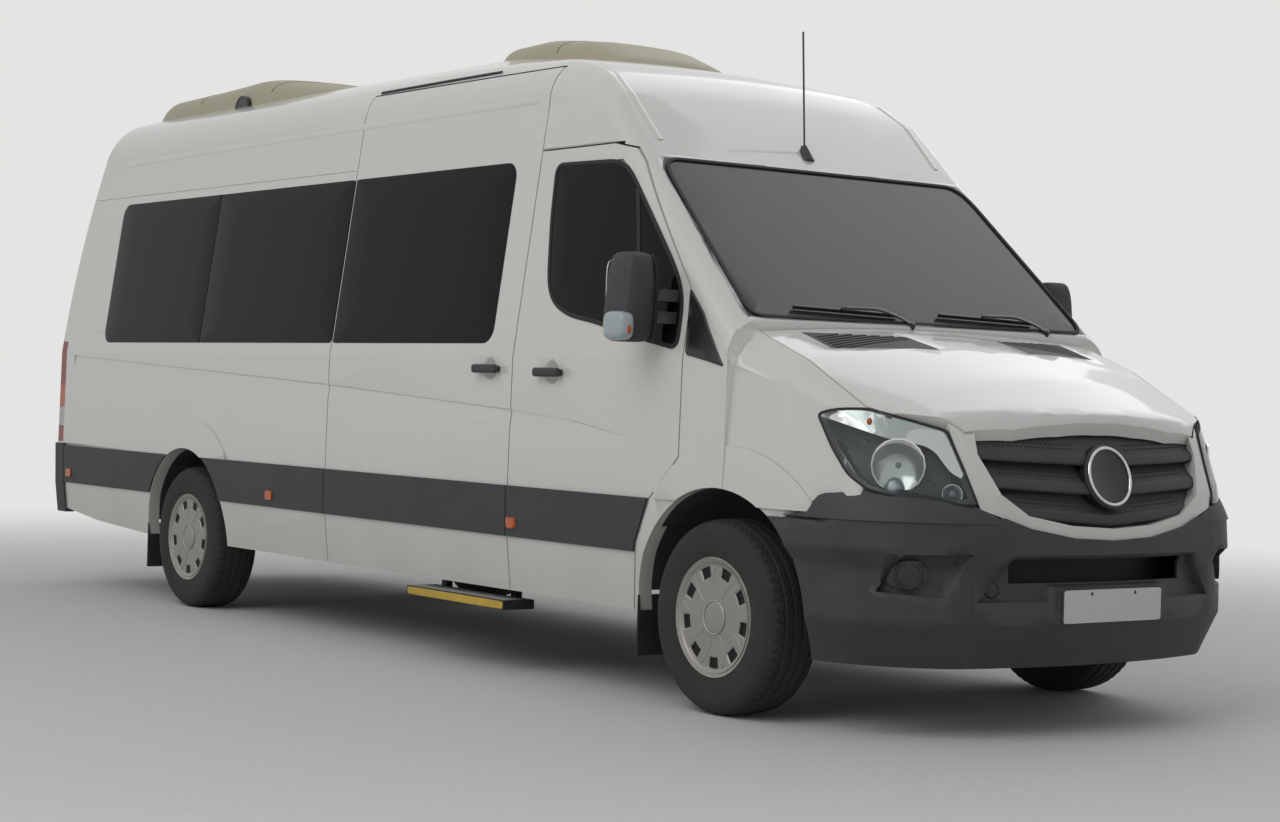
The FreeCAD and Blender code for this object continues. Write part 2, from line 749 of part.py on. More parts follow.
def bonnet_space(gap):
    """Space of the bonnet, its front edge lying along the way it opens."""
    lean = math.tan(math.radians(bonnet_motion_tilt))
    back = 400.0 * lean
    half = [(-600.0, bonnet_side_y)] + [(nose_tip_x - behind, y) for behind, y in bonnet_edge]
    outline = half + [(nose_tip_x - bonnet_tip, 0.0)] + [(x, -y) for x, y in reversed(half)]
    wire = polygon([point(x - back, y, bonnet_low_z) for x, y in outline])
    if gap:
        wire = wire.makeOffset2D(gap, join=2)
    block = Part.Face(wire).extrude(point(bonnet_rise * lean, 0, bonnet_rise))
    return block.common(box(bonnet_rear_x - gap, nose_tip_x + 100, -900, 900, 900, 1600))


def lamp_space():
    """Space of the right headlamp."""
    root = math.sqrt(0.5)
    mid_x, mid_y = lamp_axis
    corners = [point(mid_x + along * root, mid_y + along * root, z) for along, z in lamp_outline]
    face = Part.Face(polygon(corners))
    return face.extrude(point(400 * root, -400 * root, 0))


def save_nose(shell):
    """Bonnet, wings, headlamps and the panels round the grille."""
    bonnet = shell.nose.cut(shell.nose_inner).common(bonnet_space(0))
    vents = together([vent_block(0), mirrored(vent_block(0))])
    pocket = vents.common(shell.nose.cut(nose_hull(vent_depth)))
    save("bonnet", bonnet.cut(pocket))
    save("bonnet_vents", vent_inserts(pocket))

    bonnet_gap = bonnet_space(panel_gap)
    lamps = both_sides(lamp_space())
    surround_space = front_prism(symmetric(((0.0, 1110.0),) + surround_half + ((0.0, surround_low_z),)), 700, 1200)
    opening = front_prism(symmetric(((0.0, opening_high_z),) + opening_half + ((0.0, opening_low_z),)), 700, 1200)
    front = shell.skin.common(box(-600, nose_tip_x + 100, -widest, widest, sill_z - wall, 1400))
    front = front.cut([bonnet_gap, shell.doors, shell.front_arches, lamps, bumper_space(), surround_space])
    wing = front.common(box(-600, nose_tip_x - 350, -widest, -500, 0, 2000))
    flare = raised_edge(shell, front_flare, front_arch_x, front_arch_radius)
    flare = flare.cut([shell.doors, lamps, bumper_space()])
    wing = wing.fuse(flare).removeSplitter()
    save("front_wings", both_sides(wing))

    deep = shell.nose.cut(nose_hull(lamp_depth))
    save("grille_surround", deep.common(surround_space).cut([bonnet_gap, opening, lamps]))
    save("headlamps", deep.common(lamps).cut(bonnet_gap))
    save("grille", grille(opening))


def vent_block(gap):
    """Space of the left bonnet vent."""
    wire = polygon([point(x, y, 1200) for x, y in vent_outline])
    if gap:
        wire = wire.makeOffset2D(-gap, join=2)
    return Part.Face(wire).extrude(point(0, 0, 300))


def vent_inserts(pocket):
    """Dark inserts that fill the vent pockets, with slots along them."""
    slots = []
    for index in range(vent_slots):
        share = (index + 1) / (vent_slots + 1)
        x = vent_outline[0][0] + (vent_outline[3][0] - vent_outline[0][0]) * share
        slot = box(x - 6, x + 6, 250, 660, 1200, 1500)
        slot.rotate(point(x, 450, 0), point(0, 0, 1), -11)
        slots += [slot, mirrored(slot)]
    return pocket.cut(slots)


def grille(opening):
    """Three chevron slats on a pierced back plate, with a plain round boss."""
    back = nose_hull(slat_depth - 14).cut(nose_hull(slat_depth)).common(opening)
    front_volume = nose_hull(10)
    cuts, pieces = [], []
    for end_z, mid_z in slats:
        half = slat_height / 2
        chevron = ((0.0, mid_z + half), (640.0, end_z + half), (640.0, end_z - half), (0.0, mid_z - half))
        bar = front_prism(symmetric(chevron), nose_tip_x - 350, nose_tip_x + 100)
        pieces.append(front_volume.cut(nose_hull(slat_depth)).common(bar).common(opening))
        for index in range(slot_count):
            y = emblem_radius + slot_pitch * (index + 0.8)
            z = mid_z + half + slot_size + (end_z - mid_z) * y / 640.0
            slot = box(nose_tip_x - 350, nose_tip_x + 100, y - 8, y + 8, z, z + slot_size)
            cuts += [slot, mirrored(slot)]
    boss_depth = front_volume.cut(nose_hull(slat_depth))
    boss = rod(point(nose_tip_x - 350, 0, emblem_z), point(nose_tip_x + 100, 0, emblem_z), emblem_radius)
    pieces.append(boss_depth.common(boss))
    return back.cut(cuts).fuse(pieces).removeSplitter()


def bumper_space():
    """Everything below the bumper's upper edge, seen from the front."""
    high = [(-y, z) for y, z in reversed(bumper_edge[1:])] + list(bumper_edge)
    side = bumper_edge[-1][0]
    return front_prism(high + [(side, 100.0), (-side, 100.0)], bumper_rear_x, nose_tip_x + 150)


def front_bumper(shell):
    """Wrapped bumper with its intake, fog lamp recesses and number plate pad."""
    hull = plan_hull(bumper_plans, 0).common(bumper_space())
    bumper = hull.cut(plan_hull(bumper_plans, bumper_wall))
    far = (nose_tip_x - 420, nose_tip_x + 100)
    recess = front_prism(symmetric(intake_recess), *far).cut(plan_hull(bumper_plans, recess_depth))
    fog = front_prism(fog_recess, *far).cut(plan_hull(bumper_plans, fog_recess_depth))
    y0, y1, z0, z1 = intake_slot
    bumper = bumper.cut([recess, both_sides(fog), box(*far, y0, y1, z0, z1)])
    cover = rod(point(far[0], fog_centre[0], fog_centre[1]), point(far[1], *fog_centre), fog_radius)
    cover = cover.common(plan_hull(bumper_plans, 8).cut(plan_hull(bumper_plans, bumper_wall - 4)))
    half_pad, pad_low, pad_high = plate_pad
    pad = box(plate_face_x - plate_pad_depth, plate_face_x, -half_pad, half_pad, pad_low, pad_high)
    bumper = bumper.fuse([cover, mirrored(cover), pad]).removeSplitter()
    holes = [rod(point(far[0], y, plate_z), point(far[1], y, plate_z), plate_hole_radius)
             for y in (-plate_hole_spacing / 2, plate_hole_spacing / 2)]
    tow = rod(point(far[0], tow_y, tow_z), point(far[1], tow_y, tow_z), tow_cover_radius)
    return hull, bumper.cut([shell.front_arches, tow] + holes)


def tyre(side, x):
    """Tyre lying on the wheel axis, its outer face away from the middle."""
    half = tyre_width / 2
    profile = (
        (rim_radius, -rim_width / 2), (rim_radius + 42, 3 - half), (rim_radius + 80, -half),
        (tyre_radius - 24, 12 - half), (tyre_radius, 34 - half), (tyre_radius, half - 34),
        (tyre_radius - 24, half - 12), (rim_radius + 80, half), (rim_radius + 42, half - 3),
        (rim_radius, rim_width / 2),
    )
    face = Part.Face(polygon([point(x, y, tyre_radius + r) for r, y in profile]))
    ring = face.revolve(point(x, 0, tyre_radius), point(0, 1, 0), 360)
    ring.translate(point(0, side * wheel_track / 2, 0))
    return ring


def rim(side, x):
    """Steel wheel with a dished trim: nine openings near its edge, a plain centre."""
    half = rim_width / 2
    profile = (
        (0, hub_face), (hub_radius, hub_face), (hub_radius + 12, 52), (rim_radius - rim_wall - 6, 52),
        (rim_radius - rim_wall, -half), (rim_radius, -half), (rim_radius, half + 1),
        (trim_radius, half + 9.5), (trim_radius - 4, half + 15), (rim_radius - 8, half + 9),
        (rim_radius - 22, half - 4), (112, half + 1), (96, half - 6), (72, half - 8), (66, half + 2),
        (52, half + 4), (0, half + 5),
    )
    face = Part.Face(polygon([point(0, y, r) for r, y in profile]))
    body = face.revolve(point(0, 0, 0), point(0, 1, 0), 360)
    pockets = []
    for index in range(trim_openings):
        pocket = rounded(box(-25, 25, half - 30, half + 40, 122, 174), 9.0, lambda edge: is_along(edge, 1))
        pocket.rotate(point(0, 0, 0), point(0, 1, 0), index * 360 / trim_openings)
        pockets.append(pocket)
    body = body.cut(pockets)
    if side < 0:
        body = mirrored(body)
    body.translate(point(x, side * wheel_track / 2, tyre_radius))
    return body


def knuckle():
    """Left hub carrier, steering arm and strut, on the steering axis."""
    low = point(0, pin_low_y, pin_low_z)
    way = point(0, pin_top_y, pin_top_z).sub(low)
    face_y = wheel_track / 2 + hub_face - seat_gap
    carrier = tube(0, 716, face_y, tyre_radius, 52)
    upright = rod(low.add(way * 0.02), low.add(way * 0.5), 22)
    strut = rod(low.add(way * 0.22), low.add(way), strut_radius)
    arm = box(-150, 0, 716, 740, 268, 292)
    web = box(-30, 30, 716, 760, 262, tyre_radius)
    return joined([carrier, upright, Part.makeSphere(ball_radius, low), strut, arm, web])


def front_suspension():
    """Crossmember, lower arms under the ball joints, and strut top mounts."""
    arm_z = pin_low_z - ball_radius - seat_gap - lower_arm_height
    tip_y = pin_low_y + 12
    neck_y = pin_low_y - 50
    outline = ((-120, 440), (120, 440), (20, neck_y), (20, tip_y), (-20, tip_y), (-20, neck_y))
    face = Part.Face(polygon([point(x, y, arm_z) for x, y in outline]))
    arm = face.extrude(point(0, 0, lower_arm_height))
    post = box(-60, 60, 420, 460, arm_z, 310)
    top_z = tyre_radius + math.sqrt(front_arch_radius ** 2 - (front_arch_x + 45) ** 2)
    mount = box(-45, 45, pin_top_y - 45, pin_top_y + 45, pin_top_z + 5, top_z + 5)
    mount = mount.common(tube(front_arch_x, 0, widest, tyre_radius, front_arch_radius))
    beam = box(-70, 70, -470, 470, 300, 440)
    frame = joined([beam, arm, mirrored(arm), post, mirrored(post)])
    return together([frame, mount, mirrored(mount)])


def rear_axle():
    """Beam axle with its differential, on two leaf springs."""
    centre = point(rear_axle_x, 0, tyre_radius)
    reach = wheel_track / 2 + hub_face - seat_gap
    pieces = [
        tube(rear_axle_x, -reach, reach, tyre_radius, 42),
        Part.makeSphere(140, centre),
        rod(centre, point(rear_axle_x + 150, 0, tyre_radius), 48),
    ]
    front, back = rear_axle_x + spring_reach, rear_axle_x - spring_reach
    outline = (
        (front, rail_low_z), (front, rail_low_z - 12), (rear_axle_x, 386),
        (back, rail_low_z - 12), (back, rail_low_z), (rear_axle_x, 400),
    )
    leaf = side_prism(outline, 390, 450)
    return joined(pieces + [leaf, mirrored(leaf)])


def save_wheels():
    for side, name in ((1, "left"), (-1, "right")):
        save("wheel_front_" + name, rim(side, 0))
        save("tyre_front_" + name, tyre(side, 0))
        save("wheel_rear_" + name, rim(side, rear_axle_x))
        save("tyre_rear_" + name, tyre(side, rear_axle_x))
    save("knuckle_left", knuckle())
    save("knuckle_right", mirrored(knuckle()))
    save("front_suspension", front_suspension())
    save("rear_axle", rear_axle())


def wheel_housings(hollow, bumper):
    """Arched inner wings over the four wheels."""
    pieces = []
    rows = (
        (front_arch_x, front_arch_radius, well_inner_y),
        (rear_axle_x, rear_arch_radius, rear_well_inner_y),
    )
    for x, radius, inner_y in rows:
        full = tube(x, -960, housing_wall - inner_y, tyre_radius, radius + housing_wall)
        room = tube(x, -widest, -inner_y, tyre_radius, radius)
        upper = box(x - 600, x + 600, -widest, 0, tyre_radius + 60, 1200)
        pieces.append(full.cut([room, bumper]).common(upper).common(hollow))
    return together([both_sides(piece) for piece in pieces])


def floor_pan():
    """Cabin floor between the walls, and the cab floor clear of the doors."""
    cavity = body_hull(wall, floor_low_z - 5)
    cabin = box(rear_skin_x, door_rear_x - 15, -widest, widest, floor_low_z, floor_z)
    cab = box(door_rear_x - 20, -44, -900, 900, floor_low_z, floor_z)
    arches = [
        arch_space(front_arch_x, front_arch_radius, well_inner_y, housing_wall),
        arch_space(rear_axle_x, rear_arch_radius, rear_well_inner_y, housing_wall),
    ]
    return cabin.fuse(cab).removeSplitter().common(cavity).cut(arches)


def chassis_rails():
    """Two long rails with cross members, outriggers, jacking pads and a tow socket."""
    y0, y1 = rail_y
    rear_x = rear_skin_x + 100
    outline = (
        (rail_nose_x, 610), (rail_nose_x, 480), (420, rail_low_z), (rear_axle_x + 725, rail_low_z),
        (rear_x, 470), (rear_x, floor_low_z - 1), (-20, floor_low_z - 1), (-20, 610),
    )
    rail = side_prism(outline, y0, y1)
    pieces = [rail, mirrored(rail)]
    for x in cross_xs:
        pieces.append(box(x - 30, x + 30, -y0 - 20, y0 + 20, 500, floor_low_z - 1))
    for x in outrigger_xs:
        pieces.append(box(x - 25, x + 25, -860, 860, 565, floor_low_z - 1))
    length, width, height = jack_size
    for x in jack_xs:
        pad = box(x - length / 2, x + length / 2, y0 + 7, y0 + 7 + width, rail_low_z - height, rail_low_z)
        pieces += [pad, mirrored(pad)]
    boss = box(rail_nose_x - tow_socket_depth - 30, rail_nose_x, tow_y - 30, -y1 + 5, tow_z - 30, tow_z + 30)
    socket = rod(point(rail_nose_x - tow_socket_depth, tow_y, tow_z), point(rail_nose_x + 10, tow_y, tow_z),
                 tow_socket_radius)
    return joined(pieces + [boss]).cut(socket)


def body_frame(shell):
    """Bulkhead, rear sill, posts behind the cab doors and the front panel."""
    lower = box(-44, -20, -493, 493, floor_low_z, 1380)
    upper = box(-44, -20, -900, 900, 870, 1380).common(body_hull(wall + 30, sill_z))
    sill = box(rear_skin_x - 100, rear_skin_x + 200, -rear_door_half, rear_door_half,
               sill_z, rear_door_low_z - panel_gap)
    liner = body_hull(wall + 70, sill_z - 20)
    span = (door_rear_x - 80, door_rear_x + 80, -1000, 1000)
    hoop_z = sliding_top_z + 10
    post = body_hull(wall + 6, floor_z).cut(liner).common(box(*span, floor_z, hoop_z))
    hoop = shell.inner.cut(liner).common(box(*span, hoop_z, crown_z + 100))
    x0, x1 = rail_nose_x - 60, rail_nose_x - 5
    y0, y1 = rail_y
    panel = [box(x0, x1, y0, y1, 610, 1040), box(x0, x1, -y1, -y0, 610, 1040), box(x0, x1, -560, 560, 1000, 1040)]
    under_bonnet = nose_hull(sheet + seat_gap)
    for y in (-500, 500):
        panel.append(Part.makeCylinder(16, 400, point(x0 + 28, y, 1030)).common(under_bonnet))
    return together([lower.fuse(upper), shell.skin.common(sill), post.fuse(hoop), joined(panel)])


def save_running_gear():
    """Engine, driveline, tank and exhaust, each a plain block at its place."""
    block = box(100, nose_tip_x - 410, -290, 290, 470, 1050)
    mounts = box(340, 420, -rail_y[0], rail_y[0], 500, 560)
    save("engine", block.fuse(mounts).removeSplitter())
    gearbox = box(-900, -90, -130, 130, 340, 600)
    bell = box(-90, 100, -110, 110, 470, 600)
    shaft = rod(point(-900, 0, 400), point(rear_axle_x + 150.6, 0, tyre_radius), 38)
    save("driveline", joined([gearbox, bell, shaft]))
    tank = box(cross_xs[1] - 200, step_xs[0] - 60, rail_y[1] + seat_gap, 850, 350, 565)
    save("fuel_tank", rounded(tank, 40.0, lambda edge: is_along(edge, 0)))
    rear_end, front_end = exhaust_post_x + 300, exhaust_post_x + 1000
    silencer = rod(point(rear_end, -640, 440), point(front_end, -640, 440), 105)
    pipe = rod(point(rear_end, -640, 440), point(exhaust_post_x - 600, -640, 470), 30)
    hangers = [
        box(rear_end + 340, rear_end + 360, -650, -630, 500, floor_low_z - 1),
        box(exhaust_post_x - 10, exhaust_post_x + 10, -650, -630, 450, 565),
    ]
    save("exhaust", joined([silencer, pipe] + hangers))


def dashboard():
    """Dashboard across the cab, with column and steering wheel on the left."""
    outline = ((-44, 1040), (-44, 1370), (-180, 1340), (-420, 1230), (-440, 1150), (-330, 960), (-200, 940))
    dash = side_prism(outline, -850, 850)
    centre = point(-640, 400, 1230)
    wheel = Part.makeTorus(195, 15, point(0, 0, 0), point(-0.5, 0, 0.87))
    spoke = box(-18, 18, -195, 195, -10, 10)
    spoke.rotate(point(0, 0, 0), point(0, 1, 0), -30)
    for piece in (wheel, spoke):
        piece.translate(centre)
    return joined([dash, wheel, spoke, rod(centre, point(-380, 400, 1090), 30)])


def seat(x, y0, y1):
    """Seat with its base, cushion, leaning back and head restraint."""
    outline = (
        (x + 200, floor_z), (x + 240, floor_z + 290), (x + 270, floor_z + 320), (x + 265, floor_z + 385),
        (x + 200, floor_z + 400), (x - 150, floor_z + 365), (x - 262, floor_z + 860),
        (x - 250, floor_z + 900), (x - 285, floor_z + 1050), (x - 350, floor_z + 1060),
        (x - 372, floor_z + 1000), (x - 270, floor_z + 300), (x - 180, floor_z),
    )
    return side_prism(outline, y0, y1)


def seats():
    """Cab seats, benches on both sides of the aisle and the bench at the rear."""
    rows = [seat(cab_seat_x, *place) for place in cab_seats]
    first_x = door_rear_x - 770
    count = int((first_x - bench_x - 300) // seat_pitch) + 1
    for index in range(count):
        x = first_x - index * seat_pitch
        rows.append(seat(x, *left_bench))
        if index > 0:
            rows.append(seat(x, *right_bench))
    rows.append(seat(bench_x, *rear_bench))
    room = arch_space(rear_axle_x, rear_arch_radius, rear_well_inner_y, housing_wall + 10)
    return together([row.cut(room) for row in rows])


def band_arches():
    """Room round the wheels where the bands end."""
    return [
        tube(front_arch_x, -widest, widest, tyre_radius, front_arch_radius + 38),
        tube(rear_axle_x, -widest, widest, tyre_radius, rear_arch_radius + 4),
    ]


def side_trim(shell):
    """Charcoal bands along the body, and the sliding door's handle."""
    rear_x = rear_skin_x + 100
    arches = band_arches()
    band = shell.raised.common(box(rear_x, door_rear_x - panel_gap / 2, -widest, -600, skirt_z, band_z))
    band = band.cut(arches)
    left = mirrored(band)
    gap = box(sliding_rear_x - panel_gap, sliding_rear_x, -widest, -600, 0, crown_z)
    lamps = [marker(x) for x in body_marker_xs]
    bands = [band.cut([gap] + lamps), left.cut([mirrored(lamp) for lamp in lamps])]
    return together(bands + [handle(sliding_handle, shell.outer)])


def rear_bumper(shell):
    """Corner pieces round the rear end, joined by the step under the doors."""
    corner = body_hull(-11, 395).cut(body_hull(40, 300))
    corner = corner.common(box(rear_face_x, rear_skin_x + 100, -widest, widest, 395, 780))
    doorway = box(rear_face_x - 100, 0, -rear_door_half - 5, rear_door_half + 5, 590, 2000)
    step = box(rear_face_x, rear_skin_x - 11, -760, 760, 410, 580)
    return corner.cut([doorway, shell.skin]).fuse(step).removeSplitter()


def roof_unit(rows, outer):
    """Roof cooling unit with leaning sides, standing on the roof."""
    wires = []
    for x, top_z, foot_y, top_y in rows:
        corners = ((foot_y, unit_foot_z), (foot_y, top_z - 110), (top_y, top_z - 14), (0.0, top_z))
        half = [point(x, y, z) for y, z in corners]
        wires.append(polygon(half + [point(x, -spot.y, spot.z) for spot in half[-2::-1]]))
    return Part.makeLoft(wires, True, True).cut(outer)


def roof_units(shell):
    rear = roof_unit(rear_unit, shell.outer)
    outlet = tube(unit_outlet_x, -widest, -500, 2590, 62)
    rear = rear.cut([outlet, mirrored(outlet)])
    return together([rear, roof_unit(front_unit, shell.outer)])


def antenna(shell):
    base = Part.makeCone(34, 12, 70, point(-690, 0, 2122), point(-0.3, 0, 1)).cut(shell.outer)
    return base.fuse(rod(point(-705, 0, 2170), point(-735, 0, 2660), 4))


def wipers():
    """Two wipers lying along the foot of the windscreen."""
    lean = (screen_top_z - screen_foot_z) / (screen_foot_x - screen_top_x)
    pieces = []
    for pivot_y, tip_y in ((640.0, 90.0), (-90.0, -640.0)):
        foot = point(screen_foot_x - 12, pivot_y, screen_foot_z + 6)
        rest = point(foot.x - 40, (pivot_y + tip_y) / 2, foot.z + 40 * lean + 16)
        tip = point(foot.x - 62, tip_y, foot.z + 62 * lean + 12)
        near = point(foot.x - 40, pivot_y - 60, foot.z + 40 * lean + 12)
        pieces.append(joined([rod(foot, rest, 7), rod(near, tip, 6), Part.makeSphere(14, foot)]))
    return pieces


def side_step():
    """Low step under the sliding door, on two hangers from the frame."""
    tread = box(door_rear_x - 740, door_rear_x + 20, -1010, -860, 262, 300)
    hangers = [box(x - 20, x + 20, -890, -860, 290, 570) for x in step_xs]
    return joined([tread] + hangers)


def mud_flaps(shell):
    flaps = []
    for x in (front_arch_x - front_arch_radius, rear_axle_x - rear_arch_radius):
        flaps.append(both_sides(box(x, x + 8, -975, -750, 170, 400).cut(shell.skin)))
    return together(flaps)


def save_outfit(shell, bumper_hull):
    """What the shell carries inside, under and on it."""
    hollow = shell.inner.fuse(shell.nose_inner)
    save("wheel_housings", wheel_housings(hollow, bumper_hull))
    save("floor_pan", floor_pan())
    save("chassis_rails", chassis_rails())
    save("body_frame", body_frame(shell))
    save("dashboard", dashboard())
    save("seats", seats())
    save("side_trim", side_trim(shell))
    save("side_markers", together([both_sides(marker(x).cut(shell.outer)) for x in body_marker_xs]))
    save("rear_bumper", rear_bumper(shell))
    save("roof_ac_units", roof_units(shell))
    save("antenna", antenna(shell))
    save("wipers", together([piece.cut(shell.solid) for piece in wipers()]))
    save("side_step", side_step())
    save("mud_flaps", mud_flaps(shell))


def main():
    os.makedirs("parts", exist_ok=True)
    shell = Shell()
    save_roof(shell)
    save_sides(shell)
    save_front_doors(shell)
    save_rear_doors(shell)
    save_nose(shell)
    bumper_hull, bumper = front_bumper(shell)
    save("front_bumper", bumper)
    save_wheels()
    save_running_gear()
    save_outfit(shell, bumper_hull)


main()
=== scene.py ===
import json
import math

import bmesh
import bpy
import numpy as np
from bpy.props import FloatProperty, FloatVectorProperty, PointerProperty
from bpy.types import Operator, Panel, PropertyGroup
from mathutils import Matrix, Vector

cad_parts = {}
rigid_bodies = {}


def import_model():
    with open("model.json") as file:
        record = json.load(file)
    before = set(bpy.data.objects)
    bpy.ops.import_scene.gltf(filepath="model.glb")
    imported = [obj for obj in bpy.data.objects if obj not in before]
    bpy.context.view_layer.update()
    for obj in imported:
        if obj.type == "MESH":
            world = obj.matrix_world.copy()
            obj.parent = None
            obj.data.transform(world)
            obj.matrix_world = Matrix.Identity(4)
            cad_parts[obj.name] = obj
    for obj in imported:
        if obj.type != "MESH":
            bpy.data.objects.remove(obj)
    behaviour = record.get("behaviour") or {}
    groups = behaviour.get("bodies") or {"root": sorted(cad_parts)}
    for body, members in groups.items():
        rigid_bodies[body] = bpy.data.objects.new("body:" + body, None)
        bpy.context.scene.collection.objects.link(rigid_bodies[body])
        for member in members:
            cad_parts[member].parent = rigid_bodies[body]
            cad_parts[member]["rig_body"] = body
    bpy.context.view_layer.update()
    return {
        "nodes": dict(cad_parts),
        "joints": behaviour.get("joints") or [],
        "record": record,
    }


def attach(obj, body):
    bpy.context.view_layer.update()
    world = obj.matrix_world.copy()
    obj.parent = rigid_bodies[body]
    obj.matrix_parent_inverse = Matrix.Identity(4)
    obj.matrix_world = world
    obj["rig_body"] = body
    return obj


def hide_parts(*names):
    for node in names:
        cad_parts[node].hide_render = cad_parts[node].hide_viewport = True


bl_info = {
    "name": "High-roof minibus",
    "version": (1, 0, 0),
    "blender": (4, 5, 0),
    "location": "3D View > Sidebar > Minibus",
    "description": "Dresses the minibus frame with its finishes, tyres, lamps and trim",
    "category": "Object",
}

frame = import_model()
NODES = frame["nodes"]
SLOTS = {row["node"]: row["material_slot"] for row in frame["record"]["subparts"]}
JOINTS = {joint["name"]: joint for joint in frame["joints"]}
FRONT_AXLE, WHEEL_Y, WHEEL_Z = JOINTS["wheel_front_left_spin"]["pos_m"]
REAR_AXLE = JOINTS["wheel_rear_left_spin"]["pos_m"][0]
UP = np.array([0.0, 0.0, 1.0])


# Colours and nodes

def linear(text):
    """Linear RGBA of an sRGB hex colour: each channel c is c/12.92 below 0.04045,
    and ((c + 0.055)/1.055)^2.4 above."""
    srgb = np.array([int(text[i:i + 2], 16) for i in (1, 3, 5)]) / 255
    value = np.where(srgb <= 0.04045, srgb / 12.92, ((srgb + 0.055) / 1.055) ** 2.4)
    return (*value.tolist(), 1.0)


def wire(tree, node, inputs):
    """Sets a node's input sockets, or links those that are given an output."""
    for key, value in inputs.items():
        if isinstance(value, bpy.types.NodeSocket):
            tree.links.new(value, node.inputs[key])
        else:
            node.inputs[key].default_value = value


def add_node(tree, kind, inputs=None, **settings):
    """Adds a node, sets its properties, then sets or links its input sockets."""
    node = tree.nodes.new(kind)
    for key, value in settings.items():
        setattr(node, key, value)
    wire(tree, node, inputs or {})
    return node


def blank_material(name):
    """A material with only its shader and output, and the object's own coordinates."""
    material = bpy.data.materials.new(name)
    material.use_nodes = True
    tree = material.node_tree
    tree.nodes.clear()
    shader = add_node(tree, "ShaderNodeBsdfPrincipled")
    add_node(tree, "ShaderNodeOutputMaterial", {"Surface": shader.outputs["BSDF"]})
    place = add_node(tree, "ShaderNodeTexCoord").outputs["Object"]
    return material, tree, shader, place


# Each of these draws a material's nodes, from the object's coordinates to its shader.
# A wave texture of scale 1 repeats every WAVE_LENGTH metres.

WAVE_LENGTH = 0.31


def sheet_enamel(tree, shader, place, paint):
    """Solid white enamel under clear lacquer, baked on pressed steel: a hard, wet gloss
    over a faint orange peel, with road dust that thickens towards the sills."""
    # dust blotches about 350 mm across
    blotch = add_node(tree, "ShaderNodeTexNoise", {
        "Vector": place, "Scale": 1 / 0.35, "Detail": 5.0})
    height = add_node(tree, "ShaderNodeSeparateXYZ", {"Vector": place}).outputs["Z"]
    low = add_node(tree, "ShaderNodeMapRange", {
        "Value": height, "From Min": 0.95, "From Max": 0.3, "To Min": 0.02, "To Max": 0.42})
    dust = add_node(tree, "ShaderNodeMath", {
        0: blotch.outputs["Fac"], 1: low.outputs["Result"]}, operation="MULTIPLY")
    mix = add_node(tree, "ShaderNodeMix", {
        "Factor": dust.outputs[0], 6: paint, 7: linear("#8E8577")}, data_type="RGBA")
    # orange peel is about 2 mm across, drawn at 6 mm so that it shows
    peel = add_node(tree, "ShaderNodeTexNoise", {
        "Vector": place, "Scale": 1 / 0.006, "Detail": 1.0})
    bump = add_node(tree, "ShaderNodeBump", {
        "Height": peel.outputs["Fac"], "Strength": 0.02, "Distance": 0.0004})
    wire(tree, shader, {
        "Roughness": 0.32, "Coat Weight": 0.7, "Coat Roughness": 0.06, "IOR": 1.5,
        "Base Color": mix.outputs[2], "Normal": bump.outputs["Normal"]})


def grained_plastic(tree, shader, place, colour, grain, roughness, strength):
    """Injection-moulded, leather-grained polypropylene or ABS: satin, a little paler
    where it is scuffed, with a grain of one to two millimetres drawn coarser to show."""
    scuff = add_node(tree, "ShaderNodeTexNoise", {
        "Vector": place, "Scale": 1 / 0.12, "Detail": 6.0}).outputs["Fac"]
    ramp = add_node(tree, "ShaderNodeMapRange", {
        "Value": scuff, "From Min": 0.35, "From Max": 0.75})
    paler = tuple(min(1.0, channel * 1.35 + 0.004) for channel in colour[:3]) + (1.0,)
    mix = add_node(tree, "ShaderNodeMix", {
        "Factor": ramp.outputs["Result"], 6: colour, 7: paler}, data_type="RGBA")
    rough = add_node(tree, "ShaderNodeMapRange", {
        "Value": scuff, "To Min": roughness - 0.08, "To Max": roughness + 0.1})
    cells = add_node(tree, "ShaderNodeTexVoronoi", {"Vector": place, "Scale": 1 / grain})
    bump = add_node(tree, "ShaderNodeBump", {
        "Height": cells.outputs["Distance"], "Strength": strength, "Distance": grain * 0.08})
    wire(tree, shader, {
        "IOR": 1.49, "Base Color": mix.outputs[2], "Roughness": rough.outputs["Result"],
        "Normal": bump.outputs["Normal"]})


def tint_and_shade_glass(tree, shader, place, colour, shine, roughness):
    """Toughened float glass, drawn opaque: a mirror-like skin over a dark colour that is partly
    tint and partly painted shade of the unlit inside seen through it, with a thin haze of dried
    dust."""
    haze = add_node(tree, "ShaderNodeTexNoise", {
        "Vector": place, "Scale": 1 / 0.25, "Detail": 6.0})
    rough = add_node(tree, "ShaderNodeMapRange", {
        "Value": haze.outputs["Fac"], "From Min": 0.3, "From Max": 0.8, "To Min": roughness,
        "To Max": roughness + 0.08})
    wire(tree, shader, {
        "Base Color": colour, "IOR": 1.52, "Specular IOR Level": shine,
        "Roughness": rough.outputs["Result"]})


def lens_plastic(tree, shader, place, colour, transmission, ribs):
    """Moulded polycarbonate or acrylic lens: clear and glossy, with faint optic ribs."""
    wave = add_node(tree, "ShaderNodeTexWave", {
        "Vector": place, "Scale": WAVE_LENGTH / ribs}, bands_direction="Z")
    bump = add_node(tree, "ShaderNodeBump", {
        "Height": wave.outputs["Fac"], "Strength": 0.3, "Distance": 0.0008})
    wire(tree, shader, {
        "Base Color": colour, "IOR": 1.54, "Transmission Weight": transmission,
        "Roughness": 0.06, "Normal": bump.outputs["Normal"]})


